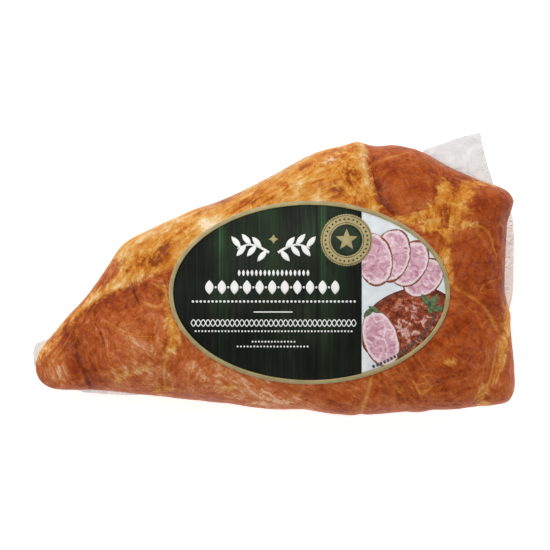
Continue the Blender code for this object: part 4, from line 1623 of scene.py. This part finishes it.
class HAM_OT_label_marks(bpy.types.Operator):
    """Adds the label's white, gold and dark ornament"""

    bl_idname = "ham.label_marks"
    bl_label = "Label marks"

    def execute(self, context):
        """Rows of leaves and beads, a rule, crossed waves, two sprigs, a diamond and dark dashes."""
        build_groups()
        white = printed("white_ink", srgb(232, 233, 228), srgb(246, 246, 242))
        gold = gold_ink()
        dark = printed("grey_ink", srgb(70, 66, 64), srgb(98, 94, 92))
        leaves = [filled(leaf(x, y, half_height, half_width, 90), MARK_LEVEL, rings=2)
                  for y, half_height, half_width, first, last, count in LEAF_ROWS
                  for x in np.linspace(first, last, count)]
        print_piece("label_leaf_rows", leaves, white)
        beads = [filled(oval(x, y, radius, radius, count=12), MARK_LEVEL, rings=1)
                 for y, radius, first, last, count in BEAD_ROWS
                 for x in np.linspace(first, last, count)]
        print_piece("label_bead_rows", beads, white)
        print_piece("label_rule", [bar(*RULE, MARK_LEVEL)], white)
        left, right, y, swing, length, half_width = WAVE_ROW
        x = np.linspace(left, right, 420)
        lift = swing * np.sin(2 * math.pi * (x - left) / length)
        waves = [ribbon(np.column_stack([x, y + side * lift]), half_width, MARK_LEVEL + (side > 0))
                 for side in (-1, 1)]
        print_piece("label_wave_row", waves, white)
        sprigs = []
        for side in (-1, 1):
            s = np.linspace(0, 1, 24)
            sprigs.append(ribbon(sprig_stem(side, s), SPRIG_WIDTH - SPRIG_THINNING * s, MARK_LEVEL))
            for number, (x, y) in enumerate(sprig_stem(side, np.linspace(0.1, 0.92, 6))):
                up = 1 if number % 2 else -1
                turn = 90 - side * (90 - up * SPRIG_LEAF_TURN)
                beside, above = SPRIG_LEAF_PLACE
                outline = leaf(x + side * beside, y + up * above, *SPRIG_LEAF, turn)
                sprigs.append(filled(outline, MARK_LEVEL + 1, rings=2))
        print_piece("label_sprigs", sprigs, white)
        cx, cy = SPRIG_CENTRE
        diamond = star(cx, cy + DIAMOND_UP, *DIAMOND, 4)
        print_piece("label_diamond", [filled(diamond, MARK_LEVEL, rings=2)], gold)
        first, last, step, length, share, half_width = EDGE_DASHES
        dashes = [label_arc(share, a, a + length, 4) for a in np.arange(first, last, step)]
        dashes = [ribbon(dash, half_width, INK_LEVEL) for dash in dashes]
        print_piece("label_edge_dashes", dashes, dark)
        return {"FINISHED"}


class HAM_OT_stage(bpy.types.Operator):
    """Adds the floor, the lights and the camera"""

    bl_idname = "ham.stage"
    bl_label = "Stage"

    def execute(self, context):
        """A pale floor, a key light from the far left, a weak side light, an even sky, a long lens."""
        build_groups()
        settings = context.scene.ham_stage
        scene = context.scene
        corners = np.array([(-1, -1, 0), (1, -1, 0), (1, 1, 0), (-1, 1, 0)]) * FLOOR_HALF / MM
        mesh = mesh_from("floor", corners - (0, 0, FLOOR_DROP), [np.array([(0, 1, 2, 3)])])
        floor = bpy.data.objects.new("floor", mesh)
        scene.collection.objects.link(floor)
        material, tree, shader = new_material("floor")
        cloud = mottle(tree, tree.place(), 400.0, 2.0)
        colour = tree.mix(cloud, (0.93, 0.93, 0.93, 1), (0.95, 0.95, 0.95, 1))
        finish_shader(tree, shader, 0.5, base_color=colour, roughness=0.9)
        shader.inputs["Emission Color"].default_value = (1, 1, 1, 1)
        shader.inputs["Emission Strength"].default_value = FLOOR_LIGHT
        mesh.materials.append(material)

        world = bpy.data.worlds.new("sky")
        world.use_nodes = True
        sky = Tree(world.node_tree)
        background = world.node_tree.nodes["Background"]
        background.inputs["Color"].default_value = (1, 1, 1, 1)
        direction = sky.add("ShaderNodeTexCoord").outputs["Generated"]
        overhead = smooth_mask(sky, sky.parts(direction)["Z"], 0.35, 0.95)
        strength = sky.weighted(settings.sky, (overhead, -0.7 * settings.sky))
        world.node_tree.links.new(strength, background.inputs["Strength"])
        scene.world = world
        add_light("key_light", *KEY_LIGHT, settings.light_power)
        add_light("side_light", *SIDE_LIGHT, settings.light_power * SIDE_LIGHT_SHARE)

        camera = bpy.data.objects.new("camera", bpy.data.cameras.new("camera"))
        camera.location = (0, 0, settings.camera_height)
        camera.data.sensor_width = SENSOR_WIDTH
        view_height = settings.camera_height - VIEW_LEVEL * MM
        camera.data.lens = SENSOR_WIDTH * view_height / (IMAGE_PIXELS * PIXEL_SIZE * MM)
        camera.data.clip_start = 0.1
        camera.data.clip_end = 30
        scene.collection.objects.link(camera)
        scene.camera = camera
        scene.view_settings.view_transform = "Standard"
        return {"FINISHED"}


def add_light(name, place, size, power):
    """Square soft light that looks at the pack."""
    light = bpy.data.lights.new(name, "AREA")
    light.size = size
    light.energy = power
    lamp = bpy.data.objects.new(name, light)
    lamp.location = place
    lamp.rotation_euler = (-Vector(place)).to_track_quat("-Z", "Y").to_euler()
    bpy.context.scene.collection.objects.link(lamp)


class HAM_PT_panel(bpy.types.Panel):
    """Lists the ham's settings and pieces"""

    bl_idname = "HAM_PT_panel"
    bl_label = "Packed ham"
    bl_space_type = "VIEW_3D"
    bl_region_type = "UI"
    bl_category = "Packed ham"

    def draw(self, context):
        """Settings of each group, then a button for each operator."""
        for group in SETTINGS:
            settings = getattr(context.scene, group)
            box = self.layout.box()
            for name in settings.bl_rna.properties.keys():
                if name not in ("rna_type", "name"):
                    box.prop(settings, name)
        for operator in OPERATORS:
            self.layout.operator(operator.bl_idname)


SETTINGS = {
    "ham_meat": HamMeatSettings,
    "ham_film": HamFilmSettings,
    "ham_label": HamLabelSettings,
    "ham_stage": HamStageSettings,
}
OPERATORS = (
    HAM_OT_stage, HAM_OT_meat, HAM_OT_film, HAM_OT_loose_film, HAM_OT_label_base,
    HAM_OT_label_picture, HAM_OT_label_seal, HAM_OT_label_marks,
)


def register():
    """Registers the settings, operators and panel."""
    for group, settings in SETTINGS.items():
        bpy.utils.register_class(settings)
        setattr(bpy.types.Scene, group, bpy.props.PointerProperty(type=settings))
    for item in (*OPERATORS, HAM_PT_panel):
        bpy.utils.register_class(item)


def unregister():
    """Takes them away again."""
    for item in (HAM_PT_panel, *reversed(OPERATORS)):
        bpy.utils.unregister_class(item)
    for group, settings in SETTINGS.items():
        delattr(bpy.types.Scene, group)
        bpy.utils.unregister_class(settings)


def main():
    """Builds everything."""
    register()
    for operator in OPERATORS:
        family, name = operator.bl_idname.split(".")
        getattr(getattr(bpy.ops, family), name)()
    bpy.context.view_layer.update()


if __name__ == "__main__":
    main()
